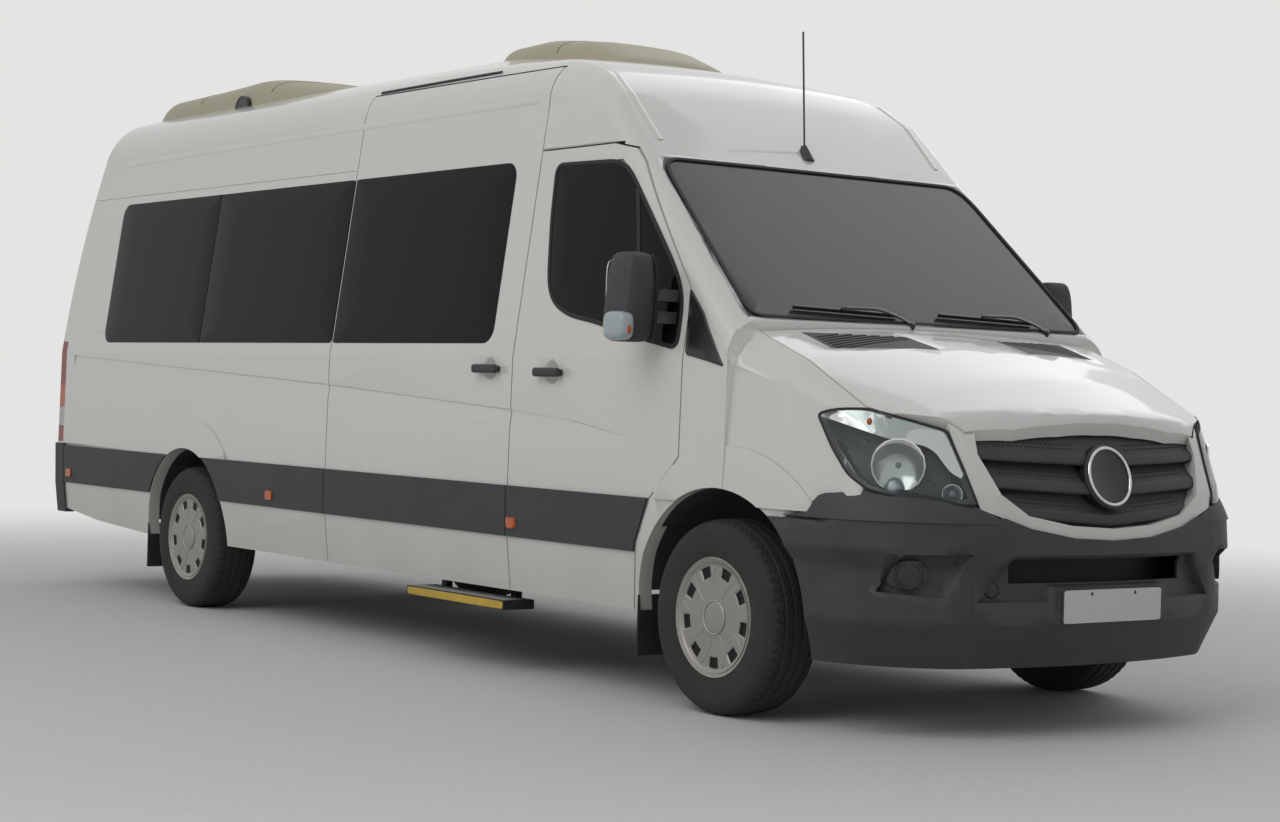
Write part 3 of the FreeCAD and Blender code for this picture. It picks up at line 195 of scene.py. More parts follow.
def lacquered_metal(tree, shader, place, colour, metallic, roughness, speck=0.003):
    """Silver lacquer or bare, plated or painted metal: even, with fine specks or scratches
    that vary how sharp its reflections are."""
    noise = add_node(tree, "ShaderNodeTexNoise", {
        "Vector": place, "Scale": 1 / speck, "Detail": 3.0}).outputs["Fac"]
    rough = add_node(tree, "ShaderNodeMapRange", {
        "Value": noise, "To Min": max(0.02, roughness - 0.06), "To Max": roughness + 0.08})
    bump = add_node(tree, "ShaderNodeBump", {
        "Height": noise, "Strength": 0.08, "Distance": 0.0004})
    wire(tree, shader, {
        "Base Color": colour, "Metallic": metallic, "Roughness": rough.outputs["Result"],
        "Normal": bump.outputs["Normal"]})


def clear_cover(tree, shader, place, colour):
    """Clear hard-coated polycarbonate, moulded thin: what is behind shows through, under a
    gloss that grows at a glancing angle by Fresnel's law."""
    wire(tree, shader, {"Base Color": colour, "Roughness": 0.05})
    through = add_node(tree, "ShaderNodeBsdfTransparent", {"Color": linear("#EEF1F1")})
    edge = add_node(tree, "ShaderNodeFresnel", {"IOR": 1.5})
    mix = add_node(tree, "ShaderNodeMixShader", {
        0: edge.outputs[0], 1: through.outputs[0], 2: shader.outputs["BSDF"]})
    wire(tree, tree.get_output_node("ALL"), {"Surface": mix.outputs[0]})


TAIL_BOTTOM, TAIL_TOP = 0.79, 1.35
TAIL_BANDS = ((0.0, "#8E1116"), (0.16, "#BDBBB8"), (0.34, "#C0561A"), (0.56, "#8E1116"))


def tail_lens(tree, shader, place, colour):
    """Moulded acrylic welded together in bands of red, clear, amber and red from the bottom
    to the top, glossy, with optic ribs 12 mm apart."""
    lens_plastic(tree, shader, place, colour, 0.1, 0.012)
    height = add_node(tree, "ShaderNodeSeparateXYZ", {"Vector": place}).outputs["Z"]
    share = add_node(tree, "ShaderNodeMapRange", {
        "Value": height, "From Min": TAIL_BOTTOM, "From Max": TAIL_TOP})
    bands = add_node(tree, "ShaderNodeValToRGB", {"Fac": share.outputs["Result"]})
    bands.color_ramp.interpolation = "CONSTANT"
    stops = bands.color_ramp.elements
    for index, (position, tone) in enumerate(TAIL_BANDS):
        stop = stops[index] if index < 2 else stops.new(position)
        stop.position, stop.color = position, linear(tone)
    wire(tree, shader, {"Base Color": bands.outputs["Color"]})


def wheel_lacquer_with_painted_shade(tree, shader, place, colour, face):
    """Silver lacquer on the wheel or its trim, and painted shade: black further in than its face,
    in the openings, where shade falls."""
    lacquered_metal(tree, shader, place, colour, 0.5, 0.4)
    across = add_node(tree, "ShaderNodeSeparateXYZ", {"Vector": place}).outputs["Y"]
    reach = add_node(tree, "ShaderNodeMath", {0: across}, operation="ABSOLUTE")
    # painted shade: the surface turns black where it lies deeper than the face
    share = add_node(tree, "ShaderNodeMapRange", {
        "Value": reach.outputs[0], "From Min": face - 0.0008, "From Max": face + 0.0008})
    mix = add_node(tree, "ShaderNodeMix", {
        "Factor": share.outputs["Result"], 6: linear("#141414"), 7: colour}, data_type="RGBA")
    wire(tree, shader, {"Base Color": mix.outputs[2]})


def woven_cloth(tree, shader, place, colour):
    """Flat-woven polyester seat cloth, brushed: no gloss, a soft sheen at the edges. The
    threads are 0.8 mm apart, drawn at 4 mm so that they show."""
    warp, weft = (add_node(tree, "ShaderNodeTexWave", {
        "Vector": place, "Scale": WAVE_LENGTH / 0.004}, bands_direction=way)
        for way in ("Y", "Z"))
    cross = add_node(tree, "ShaderNodeMath", {
        0: warp.outputs["Fac"], 1: weft.outputs["Fac"]}, operation="MULTIPLY")
    fade = add_node(tree, "ShaderNodeTexNoise", {
        "Vector": place, "Scale": 1 / 0.15, "Detail": 4.0})
    mix = add_node(tree, "ShaderNodeMix", {
        "Factor": fade.outputs["Fac"], 6: colour, 7: linear("#4A4E58")}, data_type="RGBA")
    bump = add_node(tree, "ShaderNodeBump", {
        "Height": cross.outputs[0], "Strength": 0.4, "Distance": 0.001})
    wire(tree, shader, {
        "Roughness": 0.92, "Sheen Weight": 0.35, "Sheen Roughness": 0.4,
        "Base Color": mix.outputs[2], "Normal": bump.outputs["Normal"]})


# Each finish is what draws it, its material's name, its colour, and the rest that it is
# drawn with. A colour that isn't hex is one that the user may change.
FINISHES = {
    "white_paint": (sheet_enamel, "white_enamel", "paint"),
    "charcoal_plastic": (grained_plastic, "charcoal_polypropylene", "trim", 0.003, 0.6, 0.25),
    "gloss_black": (grained_plastic, "gloss_black_abs", "#1B1C1D", 0.003, 0.3, 0.05),
    # the rubber finish is real black rubber on seals, and painted shade on the grille's pits and
    # the intake's back wall
    "rubber": (grained_plastic, "black_epdm_rubber", "#161617", 0.003, 0.7, 0.2),
    "bezel": (grained_plastic, "smoked_grey_bezel", "#5E615F", 0.003, 0.4, 0.08),
    # painted shade: the side glass is nearly black partly by its tint and partly for the unlit
    # inside; the windscreen's grey is mostly painted shade of the cab
    "dark_glass": (tint_and_shade_glass, "tinted_side_glass", "#131515", 0.08, 0.03),
    "screen_glass": (tint_and_shade_glass, "filmed_windscreen", "#3F3C39", 0.22, 0.10),
    "mirror_glass": (lacquered_metal, "silvered_mirror", "#B9BEC2", 1.0, 0.08, 0.4),
    "lamp_lens": (clear_cover, "clear_polycarbonate", "#F0F2F2"),
    "lamp_glass": (lens_plastic, "pressed_lamp_glass", "#C9D3D8", 0.35, 0.01),
    "reflector": (lacquered_metal, "aluminised_reflector", "#D6D7D6", 1.0, 0.16, 0.02),
    "chrome": (lacquered_metal, "chrome_plate", "#C9CBCC", 1.0, 0.1, 0.05),
    "red_lens": (tail_lens, "red_acrylic", "#8E1116"),
    "orange_lens": (lens_plastic, "amber_acrylic", "#C95A12", 0.1, 0.012),
    "tyre_rubber": (grained_plastic, "tyre_rubber", "#2A2A28", 0.005, 0.84, 0.3),
    # painted shade: the wheel and its trim turn black deeper than these faces
    "wheel_silver": (wheel_lacquer_with_painted_shade, "silver_lacquer", "#9C9992", WHEEL_Y + 0.068),
    "trim_silver": (wheel_lacquer_with_painted_shade, "silver_trim_lacquer", "#9C9992", WHEEL_Y + 0.0975),
    "bright_silver": (lacquered_metal, "bright_silver_lacquer", "#B4B2AD", 0.5, 0.3),
    "chassis_steel": (lacquered_metal, "black_chassis_paint", "#232323", 0.0, 0.6),
    "cast_grey": (lacquered_metal, "cast_iron", "#4A4A4A", 0.6, 0.6),
    "tread_steel": (lacquered_metal, "brushed_step_steel", "#8E8D88", 0.6, 0.45),
    "yellow": (grained_plastic, "yellow_step_edge", "#B99A3C", 0.003, 0.6, 0.2),
    "cream_plastic": (lacquered_metal, "cream_gelcoat", "#B0AA93", 0.0, 0.5),
    "seat_fabric": (woven_cloth, "woven_seat_cloth", "#3C3F47"),
    "floor_grey": (grained_plastic, "ribbed_floor_vinyl", "#505050", 0.01, 0.7, 0.4),
    "dash_grey": (grained_plastic, "dashboard_skin", "#2C2C2E", 0.004, 0.7, 0.4),
    "flap_rubber": (grained_plastic, "flap_rubber", "#202020", 0.006, 0.8, 0.4),
    "blank_white": (lacquered_metal, "white_plate_sheeting", "#C9C9C8", 0.0, 0.4),
}
MADE = {}


def finish(key):
    """The finish of that name, made the first time it is asked for."""
    if key not in MADE:
        draw, name, colour, *rest = FINISHES[key]
        chosen = tuple(getattr(bpy.context.scene.minibus_colours, colour, ()))
        MADE[key], *nodes = blank_material(name)
        draw(*nodes, chosen or linear(colour), *rest)
    return MADE[key]


# Meshes. A surface is a grid of rings of points.

SMOOTH_ANGLE, PANEL_ANGLE = 30.0, 24.0


def smooth_object(name, mesh, work, angle):
    """An object of the mesh as it is worked, shaded smooth except across edges sharper than
    the angle in degrees."""
    work.to_mesh(mesh)
    work.free()
    mesh.polygons.foreach_set("use_smooth", np.ones(len(mesh.polygons), bool))
    mesh.set_sharp_from_angle(angle=math.radians(angle))
    piece = bpy.data.objects.new(name, mesh)
    bpy.context.scene.collection.objects.link(piece)
    return piece


def merged_copy(node):
    """A copy of a CAD node with its doubled points merged, which stands for the node."""
    mesh = NODES[node].data.copy()
    work = bmesh.new()
    work.from_mesh(mesh)
    bmesh.ops.remove_doubles(work, verts=work.verts, dist=2e-5)
    piece = smooth_object(node + "_panel", mesh, work, PANEL_ANGLE)
    even = piece.modifiers.new("even_shading", "WEIGHTED_NORMAL")
    even.mode = "FACE_AREA_WITH_ANGLE"
    even.keep_sharp = True
    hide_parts(node)
    return piece


def solid_piece(name, grids, angle):
    """One piece of closed surfaces. A grid's first and last ring are the same, or else each
    is filled or is a pole."""
    points, faces, start = [], [], 0
    for grid in grids:
        rows, columns = grid.shape[:2]
        spot = start + np.arange(rows * columns).reshape(rows, columns)
        beside = np.roll(spot, -1, 1)
        quads = np.stack([spot[:-1], beside[:-1], beside[1:], spot[1:]], -1)
        faces += quads.reshape(-1, 4).tolist()
        if not np.array_equal(grid[0], grid[-1]):
            faces += [spot[0, ::-1].tolist(), spot[-1].tolist()]
        points.append(grid.reshape(-1, 3))
        start += rows * columns
    mesh = bpy.data.meshes.new(name)
    mesh.from_pydata(np.concatenate(points).tolist(), [], faces)
    work = bmesh.new()
    work.from_mesh(mesh)
    bmesh.ops.remove_doubles(work, verts=work.verts, dist=1e-5)
    bmesh.ops.recalc_face_normals(work, faces=work.faces)
    return smooth_object(name, mesh, work, angle)


def dress(piece, look, body):
    """Gives a piece its finish and the body it moves with."""
    piece.data.materials.clear()
    piece.data.materials.append(finish(look))
    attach(piece, body)
    return piece


def fit_piece(name, grids, look, angle=SMOOTH_ANGLE, body="body", stands_for=None):
    """A dressed piece of closed surfaces, in place of a CAD node where it stands for one."""
    piece = dress(solid_piece(name, grids, angle), look, body)
    if stands_for:
        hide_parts(stands_for)
    return piece


def unit(vectors):
    vectors = np.asarray(vectors, float)
    return vectors / np.linalg.norm(vectors, axis=-1, keepdims=True)


def mirrored(grids):
    """The same surfaces on the other side of the vehicle."""
    return [grid * (1, -1, 1) for grid in grids]


def both(grids):
    return grids + mirrored(grids)


SIDES = (("right", list), ("left", mirrored))


def closed_up(rows):
    """The rows with the first one once more at the end."""
    return np.concatenate([rows, rows[:1]])


def swelled(wave, power):
    """sgn(w)|w|^(2/n), which makes a circle of sine and cosine waves squarer."""
    return np.sign(wave) * np.abs(wave) ** (2 / power)


def oval(half_width, half_height, count, power=2.0):
    """A closed profile: across = a sgn(cos t)|cos t|^(2/n), out = b sgn(sin t)|sin t|^(2/n)."""
    angle = np.linspace(0, 2 * math.pi, count, endpoint=False)
    wave = np.stack([np.cos(angle), np.sin(angle)], 1)
    return swelled(wave, power) * (half_width, half_height)


def ellipsoid(centre, half, power=4.0, rows=25, columns=48):
    """A rounded block: each coordinate is a half size times sgn(w)|w|^(2/n) of the sine and
    cosine waves of a sphere."""
    up = np.linspace(-math.pi / 2, math.pi / 2, rows)[:, None]
    turn = np.linspace(0, 2 * math.pi, columns, endpoint=False)[None, :]
    waves = (np.cos(up), np.cos(turn), np.sin(turn), np.sin(up))
    level, cosine, sine, rise = (swelled(wave, power) for wave in waves)
    return np.asarray(centre) + np.stack([level * cosine, level * sine, rise + 0 * turn], -1) * half


def turned(profile, centre, axis, count):
    """A profile of (radius, distance along the axis) turned about an axis: centre +
    distance x axis + radius x (cos a, sin a) in the plane square to it."""
    profile = np.asarray(profile, float)
    axis = unit(axis)
    first = unit(np.cross(axis, UP if abs(axis[2]) < 0.9 else (1.0, 0.0, 0.0)))
    second = np.cross(axis, first)
    angle = np.linspace(0, 2 * math.pi, count, endpoint=False)
    round_it = np.cos(angle)[:, None] * first + np.sin(angle)[:, None] * second
    return np.asarray(centre) + profile[:, None, :1] * round_it + profile[:, None, 1:] * axis


def hoop(middle, section, centre, axis, count):
    """A ring: a closed section turned about an axis, its middle at (radius, distance)."""
    return turned(closed_up(middle + section), centre, axis, count)


def carried(path, outward, section, closed=False):
    """A section (across, out) carried along a path: point = path + across x side + out x
    outward, where side is square to the way along and to the outward direction."""
    path = np.asarray(path, float)
    outward = np.broadcast_to(np.asarray(outward, float), path.shape)
    ahead = np.roll(path, -1, 0) - np.roll(path, 1, 0) if closed else np.gradient(path, axis=0)
    side = unit(np.cross(ahead, outward))
    out = unit(np.cross(side, ahead))
    grid = path[:, None] + section[:, :1] * side[:, None] + section[:, 1:] * out[:, None]
    return closed_up(grid) if closed else grid


def evenly(corners, count, soften=0, closed=True):
    """Evenly spaced points along a line of corners, each then the mean of its neighbours
    within soften steps, which rounds the corners."""
    corners = np.asarray(corners, float)
    if closed:
        corners = closed_up(corners)
    run = np.cumsum(np.linalg.norm(np.diff(corners, axis=0), axis=1))
    run = np.concatenate([[0], run])
    at = np.linspace(0, run[-1], count, endpoint=not closed)
    points = np.stack([np.interp(at, run, column) for column in corners.T], 1)
    if not soften:
        return points
    steps = np.arange(-soften, soften + 1)
    if closed:
        return np.mean([np.roll(points, step, 0) for step in steps], axis=0)
    padded = np.pad(points, ((soften, soften), (0, 0)), mode="reflect", reflect_type="odd")
    return np.mean([padded[soften + step:soften + step + count] for step in steps], axis=0)


# Laying on CAD surfaces

SEAM_STEP = 0.004
MOST_MISSED = 0.25


def triangles_of(nodes):
    """Corners of the triangles of CAD nodes, as one array of shape (n, 3, 3)."""
    parts = []
    for node in nodes:
        mesh = NODES[node].data
        mesh.calc_loop_triangles()
        order = np.empty(len(mesh.loop_triangles) * 3, np.int32)
        mesh.loop_triangles.foreach_get("vertices", order)
        places = np.empty(len(mesh.vertices) * 3, np.float32)
        mesh.vertices.foreach_get("co", places)
        parts.append(places.reshape(-1, 3)[order].reshape(-1, 3, 3))
    return np.concatenate(parts).astype(float)


def first_hits(points, way, corners):
    """Distance from each point along a direction to the first triangle, by the usual
    barycentric test, and the unit normal there, facing against the direction."""
    edge_a, edge_b = corners[:, 1] - corners[:, 0], corners[:, 2] - corners[:, 0]
    across = np.cross(way, edge_b)
    size = (edge_a * across).sum(1)
    firm = np.abs(size) > 1e-12
    corners, edge_a, edge_b, across, size = (
        row[firm] for row in (corners, edge_a, edge_b, across, size))
    offset = points[:, None] - corners[None, :, 0]
    share_a = (offset * across).sum(2) / size
    twist = np.cross(offset, edge_a)
    share_b = (twist @ way) / size
    reach = (twist * edge_b).sum(2) / size
    inside = (share_a > -1e-6) & (share_b > -1e-6) & (share_a + share_b < 1 + 1e-6)
    reach = np.where(inside & (reach > 0), reach, np.inf)
    nearest = reach.argmin(1)
    normal = unit(np.cross(edge_a, edge_b))[nearest]
    normal *= -np.sign(normal @ way)[:, None]
    return reach[np.arange(len(points)), nearest], normal


def laid_on(points, way, nodes):
    """Points moved along a direction onto CAD nodes, and the normals there. The nearest of
    five lines a few millimetres apart counts, so that a seam isn't fallen into."""
    shape = np.shape(points)
    points = np.asarray(points, float).reshape(-1, 3)
    way = unit(way)
    first = unit(np.cross(way, UP))
    second = np.cross(way, first)
    plane = np.stack([first, second], 1)
    seen, flat = points @ plane, triangles_of(nodes)
    low, high = seen.min(0) - 2 * SEAM_STEP, seen.max(0) + 2 * SEAM_STEP
    drawn = flat @ plane
    flat = flat[((drawn.max(1) >= low) & (drawn.min(1) <= high)).all(1)]
    best, normals = np.full(len(points), np.inf), np.zeros_like(points)
    for across, up in ((0, 0), (1, 0), (-1, 0), (0, 1), (0, -1)):
        moved = points + SEAM_STEP * (across * first + up * second)
        rows = [first_hits(part, way, flat)
                for part in np.array_split(moved, 1 + len(points) // 400)]
        reach, normal = (np.concatenate(column) for column in zip(*rows))
        closer = reach < best - 0.001
        best = np.where(closer, reach, best)
        normals = np.where(closer[:, None], normal, normals)
    missed = ~np.isfinite(best)
    if missed.mean() > MOST_MISSED:
        raise ValueError(f"{int(missed.sum())} points miss {nodes}")
    if missed.any():
        # a point over a gap takes the reach of the nearest point that has one
        apart = np.linalg.norm(seen[missed][:, None] - seen[~missed][None], axis=2)
        nearest = apart.argmin(1)
        best[missed] = best[~missed][nearest]
        normals[missed] = normals[~missed][nearest]
    return (points + best[:, None] * way).reshape(shape), normals.reshape(shape)


# A view is where its drawing starts, the drawing's way across, and the way it is laid.
SIDE = (np.array([FRONT_AXLE, -1.6, 0.0]), np.array([1.0, 0.0, 0.0]), np.array([0.0, 1.0, 0.0]))
FRONT = (np.array([FRONT_AXLE + 1.5, 0.0, 0.0]), np.array([0.0, 1.0, 0.0]),
         np.array([-1.0, 0.0, 0.0]))
REAR = (np.array([FRONT_AXLE - 6.6, 0.0, 0.0]), np.array([0.0, 1.0, 0.0]),
        np.array([1.0, 0.0, 0.0]))


def drawn_on(flat, view, nodes):
    """Points (across, up) of a view's drawing laid on CAD nodes, and the normals there."""
    start, across, way = view
    flat = np.asarray(flat, float)
    return laid_on(start + flat[..., :1] * across + flat[..., 1:] * UP, way, nodes)


def plate_on(outline, view, nodes, levels, middle=None):
    """A thin closed plate lying on a surface. Its rings are the outline drawn in to each
    level's share about its middle, laid on the surface and lifted by the level's height."""
    middle = outline.mean(0) if middle is None else np.array(middle)
    shares, lifts = np.array(levels).T[:, :, None, None]
    spots, normals = drawn_on(middle + (outline - middle) * shares, view, nodes)
    return spots + normals * lifts


def bead_on(line, view, nodes, lift, section, closed=False):
    """A section carried along a line that is laid on CAD nodes and then lifted."""
    spots, normals = drawn_on(line, view, nodes)
    return carried(spots + lift * normals, normals, section, closed)


# Sizes and colours that a user may change

class MinibusColours(PropertyGroup):
    paint: FloatVectorProperty(name="Paint", description="Colour of the body", subtype="COLOR",
                               size=4, min=0, max=1, default=linear("#D5D4CF"))
    trim: FloatVectorProperty(name="Trim", description="Colour of bumpers and bands",
                              subtype="COLOR", size=4, min=0, max=1, default=linear("#333437"))


class MinibusCamera(PropertyGroup):
    lens: FloatProperty(name="Lens", description="Focal length on a sensor 36 mm wide",
                        subtype="DISTANCE_CAMERA", default=66.135)
    azimuth: FloatProperty(name="Azimuth", description="Turn of the view round the vehicle",
                           subtype="ANGLE", default=math.radians(53.53))
    elevation: FloatProperty(name="Elevation", description="Height of the view over level",
                             subtype="ANGLE", default=math.radians(0.484))
    roll: FloatProperty(name="Roll", description="Lean of the view", subtype="ANGLE",
                        default=math.radians(-1.699))
    place: FloatVectorProperty(name="Place", description="Where the camera stands",
                               subtype="XYZ", unit="LENGTH", size=3,
                               default=(FRONT_AXLE + 6.665, -6.245, 1.166))


# Panels

REMADE = {
    "side_glass", "sliding_door_glass", "front_door_glass_left", "front_door_glass_right",
    "headlamps", "grille", "tyre_front_left", "tyre_front_right", "tyre_rear_left",
    "tyre_rear_right", "seats", "wipers", "front_door_trim_left", "front_door_trim_right",
    "roof_ac_units",
}


class MINIBUS_OT_finish_panels(Operator):
    """Painted panels, glass and running gear that keep their CAD shape"""
    bl_idname = "minibus.finish_panels"
    bl_label = "Finish the panels"

    def execute(self, context):
        for node in NODES:
            if node not in REMADE:
                dress(merged_copy(node), SLOTS[node], NODES[node]["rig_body"])
        return {"FINISHED"}


# Side glass, gaskets and the panels round them

WALLS = ("side_walls", "side_glass", "sliding_door", "sliding_door_glass")
DOOR = ("front_door_right", "front_door_glass_right")
SCREEN = ("windscreen", "windscreen_frame")
WINDOW_LOW, WINDOW_HIGH = 1.345, 2.10
WINDOW_CORNER, SQUARE_CORNER = 0.07, 0.004
ROW_REAR, ROW_FRONT = -5.40, -1.50
PANE_SPLIT, PANE_JOINT = -4.22, 0.003
DOOR_JOINT, DOOR_GAP = -2.85, 0.007
GLASS_ANGLE = 20.0
GLASS_LEVELS = (
    (0.0, -0.003), (1.0, -0.003), (1.0, 0.0015), (0.985, 0.0025), (0.7, 0.0025), (0.35, 0.0025),
    (0.0, 0.0025))
DOOR_GLASS = (
    (-1.206, 2.070), (-0.800, 2.062), (-0.712, 2.036), (-0.645, 1.975), (-0.335, 1.650),
    (-0.268, 1.565), (-0.240, 1.490), (-0.238, 1.328), (-0.480, 1.368), (-0.787, 1.431),
    (-0.960, 1.457), (-1.068, 1.496), (-1.128, 1.552), (-1.152, 1.620), (-1.190, 1.850))
DOOR_BAR = ((-0.626, 1.945), (-0.600, 1.860), (-0.560, 1.700), (-0.520, 1.560), (-0.478, 1.395))
SAIL = (
    (-0.205, 1.553), (-0.105, 1.462), (-0.057, 1.395), (0.0, 1.325), (0.052, 1.262),
    (-0.05, 1.283), (-0.182, 1.306))
SAIL_LEVELS = (
    (0.0, -0.002), (1.0, -0.002), (1.0, 0.004), (0.93, 0.007), (0.5, 0.007), (0.0, 0.007))
SCREEN_EDGE = (
    (0.766, 2.072), (0.801, 2.037), (0.872, 1.453), (0.45, 1.453), (0.0, 1.453), (-0.45, 1.453),
    (-0.872, 1.453), (-0.801, 2.037), (-0.766, 2.072), (0.0, 2.072))


def pane_outline(rear, front, round_rear, round_front):
    """A pane between two stations, its corners quarter circles where rounded."""
    turn = np.linspace(0, math.pi / 2, 9)
    corners = []
    for x, z, start, is_round in (
            (rear, WINDOW_LOW, math.pi, round_rear),
            (front, WINDOW_LOW, 1.5 * math.pi, round_front),
            (front, WINDOW_HIGH, 0.0, round_front),
            (rear, WINDOW_HIGH, 0.5 * math.pi, round_rear)):
        radius = WINDOW_CORNER if is_round else SQUARE_CORNER
        inward_x = radius if x == rear else -radius
        inward_z = radius if z == WINDOW_LOW else -radius
        corners.append(np.stack([x + inward_x + radius * np.cos(start + turn),
                                 z + inward_z + radius * np.sin(start + turn)], 1))
    return evenly(np.concatenate(corners), 160)


class MINIBUS_OT_fit_glass(Operator):
    """Bonded side glass, door glass, gaskets, divider bars and sail panels"""
    bl_idname = "minibus.fit_glass"
    bl_label = "Fit the glass"

    def execute(self, context):
        last, middle, front, long = (
            plate_on(pane_outline(*sides), SIDE, WALLS, GLASS_LEVELS) for sides in (
                (ROW_REAR, PANE_SPLIT - PANE_JOINT, True, False),
                (PANE_SPLIT + PANE_JOINT, DOOR_JOINT - DOOR_GAP, False, False),
                (DOOR_JOINT + DOOR_GAP, ROW_FRONT, False, True),
                (PANE_SPLIT + PANE_JOINT, ROW_FRONT, False, True)))
        fit_piece("side_glass_row", [last, middle] + mirrored([last, long]), "dark_glass",
                  angle=GLASS_ANGLE, stands_for="side_glass")
        fit_piece("sliding_door_pane", [front], "dark_glass",
                  angle=GLASS_ANGLE, stands_for="sliding_door_glass")
        self.fit_doors()
        self.fit_screen()
        return {"FINISHED"}

    def fit_doors(self):
        outline = evenly(DOOR_GLASS, 200, 3)
        pane = [plate_on(outline, SIDE, DOOR, GLASS_LEVELS)]
        seal = [bead_on(outline, SIDE, DOOR, 0.002, oval(0.009, 0.004, 10, 3.0), True)]
        bar = evenly(DOOR_BAR, 30, 2, False)
        divider = [bead_on(bar, SIDE, DOOR, 0.004, oval(0.011, 0.003, 10, 3.0))]
        sail = [plate_on(evenly(SAIL, 120, 2), SIDE,
                         ("front_wings", "windscreen_frame", "front_door_right"), SAIL_LEVELS)]
        for side, turn in SIDES:
            body = "front_door_" + side
            fit_piece("door_pane_" + side, turn(pane), "dark_glass", angle=GLASS_ANGLE, body=body,
                      stands_for="front_door_glass_" + side)
            fit_piece("door_window_seal_" + side, turn(seal), "rubber", body=body)
            fit_piece("door_window_bar_" + side, turn(divider), "rubber", body=body)
            fit_piece("sail_panel_" + side, turn(sail), "gloss_black")

    def fit_screen(self):
        """A rubber lip round the windscreen, over the edge of the glass."""
        edge = evenly(SCREEN_EDGE, 240, 3)
        lip = bead_on(edge, FRONT, SCREEN, 0.002, oval(0.008, 0.003, 8, 3.0), True)
        fit_piece("windscreen_lip", [lip], "rubber")


# Wheels, drawn on the right side

TYRE_RADIUS, TREAD_LOWEST, TREAD_HALF = 0.356, 0.346, 0.0862
SIDEWALL = (
    (0.2035, 0.095), (0.214, 0.104), (0.222, 0.110), (0.230, 0.1105), (0.236, 0.1125),
    (0.250, 0.1155), (0.268, 0.1170), (0.288, 0.1172), (0.300, 0.1165), (0.306, 0.1172),
    (0.312, 0.1155), (0.322, 0.1125), (0.332, 0.1080), (0.341, 0.1015), (0.347, 0.0945),
    (0.3505, 0.0880))
GROOVES = (-0.060, -0.020, 0.020, 0.060)
BLOCKS = 60
OPENINGS = 9
TRIM_RADIUS = 0.2025
WHEEL_ANGLE = 35.0


def about_axle(x, radius, angle, y):
    """Points at a radius from a wheel's axle and an angle from straight above it."""
    return np.stack(np.broadcast_arrays(
        x + radius * np.sin(angle), y, WHEEL_Z + radius * np.cos(angle)), -1)


def tyre_surface(x):
    """A tyre: a closed profile of sidewalls and crowned tread turned about the axle. The
    tread is drawn in by the greater of 7 mm x the sum of exp(-((y - groove)/4.5 mm)^4), at
    most one, and 5 mm in the gaps between the shoulder blocks or 2.5 mm in the ribs' sipes."""
    wall = np.array(SIDEWALL)
    across = np.linspace(-TREAD_HALF, TREAD_HALF, 73)
    tread = np.stack([TYRE_RADIUS - 0.0052 * (across / TREAD_HALF) ** 4, across], 1)
    profile = np.concatenate([wall * (1, -1), tread, wall[::-1]])
    radius, y = profile[:, :1], profile[:, 1:]
    angle = np.linspace(0, 2 * math.pi, 360, endpoint=False)
    groove = sum(np.exp(-((y - spot) / 0.0045) ** 4) for spot in GROOVES)
    wave = np.sin(BLOCKS * angle + np.where(y > 0, 1.4, 0.0) + 30 * np.abs(y))
    gap = (wave > 0.55) * (np.abs(y) > 0.066) * 0.005
    sipe = (np.sin(BLOCKS * angle + 60 * y) > 0.9) * (np.abs(y) < 0.056) * 0.0025
    cut = (radius > TREAD_LOWEST) * np.maximum(0.007 * np.minimum(groove, 1), gap + sipe)
    return closed_up(about_axle(x, radius - cut, angle, -(WHEEL_Y + y)))


def trim_face(radius):
    """How far out the wheel trim stands: 102.5 mm from the wheel's middle, 3 mm more on the
    hub's disc, dished by 1.5 mm half way, and rising 7 mm at the rim."""
    hub = 0.003 / (1 + np.exp((radius - 0.057) / 0.0012))
    dish = -0.0015 * np.sin(math.pi * np.clip(radius / 0.19, 0, 1))
    rim = 0.0070 * np.clip((radius - 0.189) / 0.012, 0, 1) ** 1.5
    return WHEEL_Y + 0.1025 + hub + dish + rim


def wheel_trim(x):
    """A closed disc with nine openings near the rim. An opening is 7.8 mm deep where both
    (radius - 166 mm)/19.5 mm and (angle from its middle)/8.5 degrees are under one, each
    side falling as a steep logistic curve."""
    radius = np.concatenate([
        [0, 0.02, 0.04, 0.052], np.linspace(0.054, 0.061, 6), [0.08, 0.10, 0.12, 0.135],
        np.linspace(0.142, 0.192, 26), np.linspace(0.194, TRIM_RADIUS, 5)])[:, None]
    angle = np.linspace(0, 2 * math.pi, 36 * OPENINGS, endpoint=False)[None, :]
    phase = (angle * OPENINGS / (2 * math.pi)) % 1 - 0.5
    across = np.abs(phase) * 2 * math.pi / OPENINGS / math.radians(8.5)
    along = np.abs(radius - 0.166) / 0.0195
    hole = 1 / (1 + np.exp((along - 1) / 0.03)) / (1 + np.exp((across - 1) / 0.04))
    back = np.full((3, angle.size), WHEEL_Y + 0.0925)
    # the openings' floors lie deeper than the trim finish's face, so they take its painted shade
    y = np.concatenate([trim_face(radius) - 0.0078 * hole, back])
    radius = np.concatenate([radius, [[TRIM_RADIUS], [0.1], [0.0]]])
    return about_axle(x, radius, angle, -y)


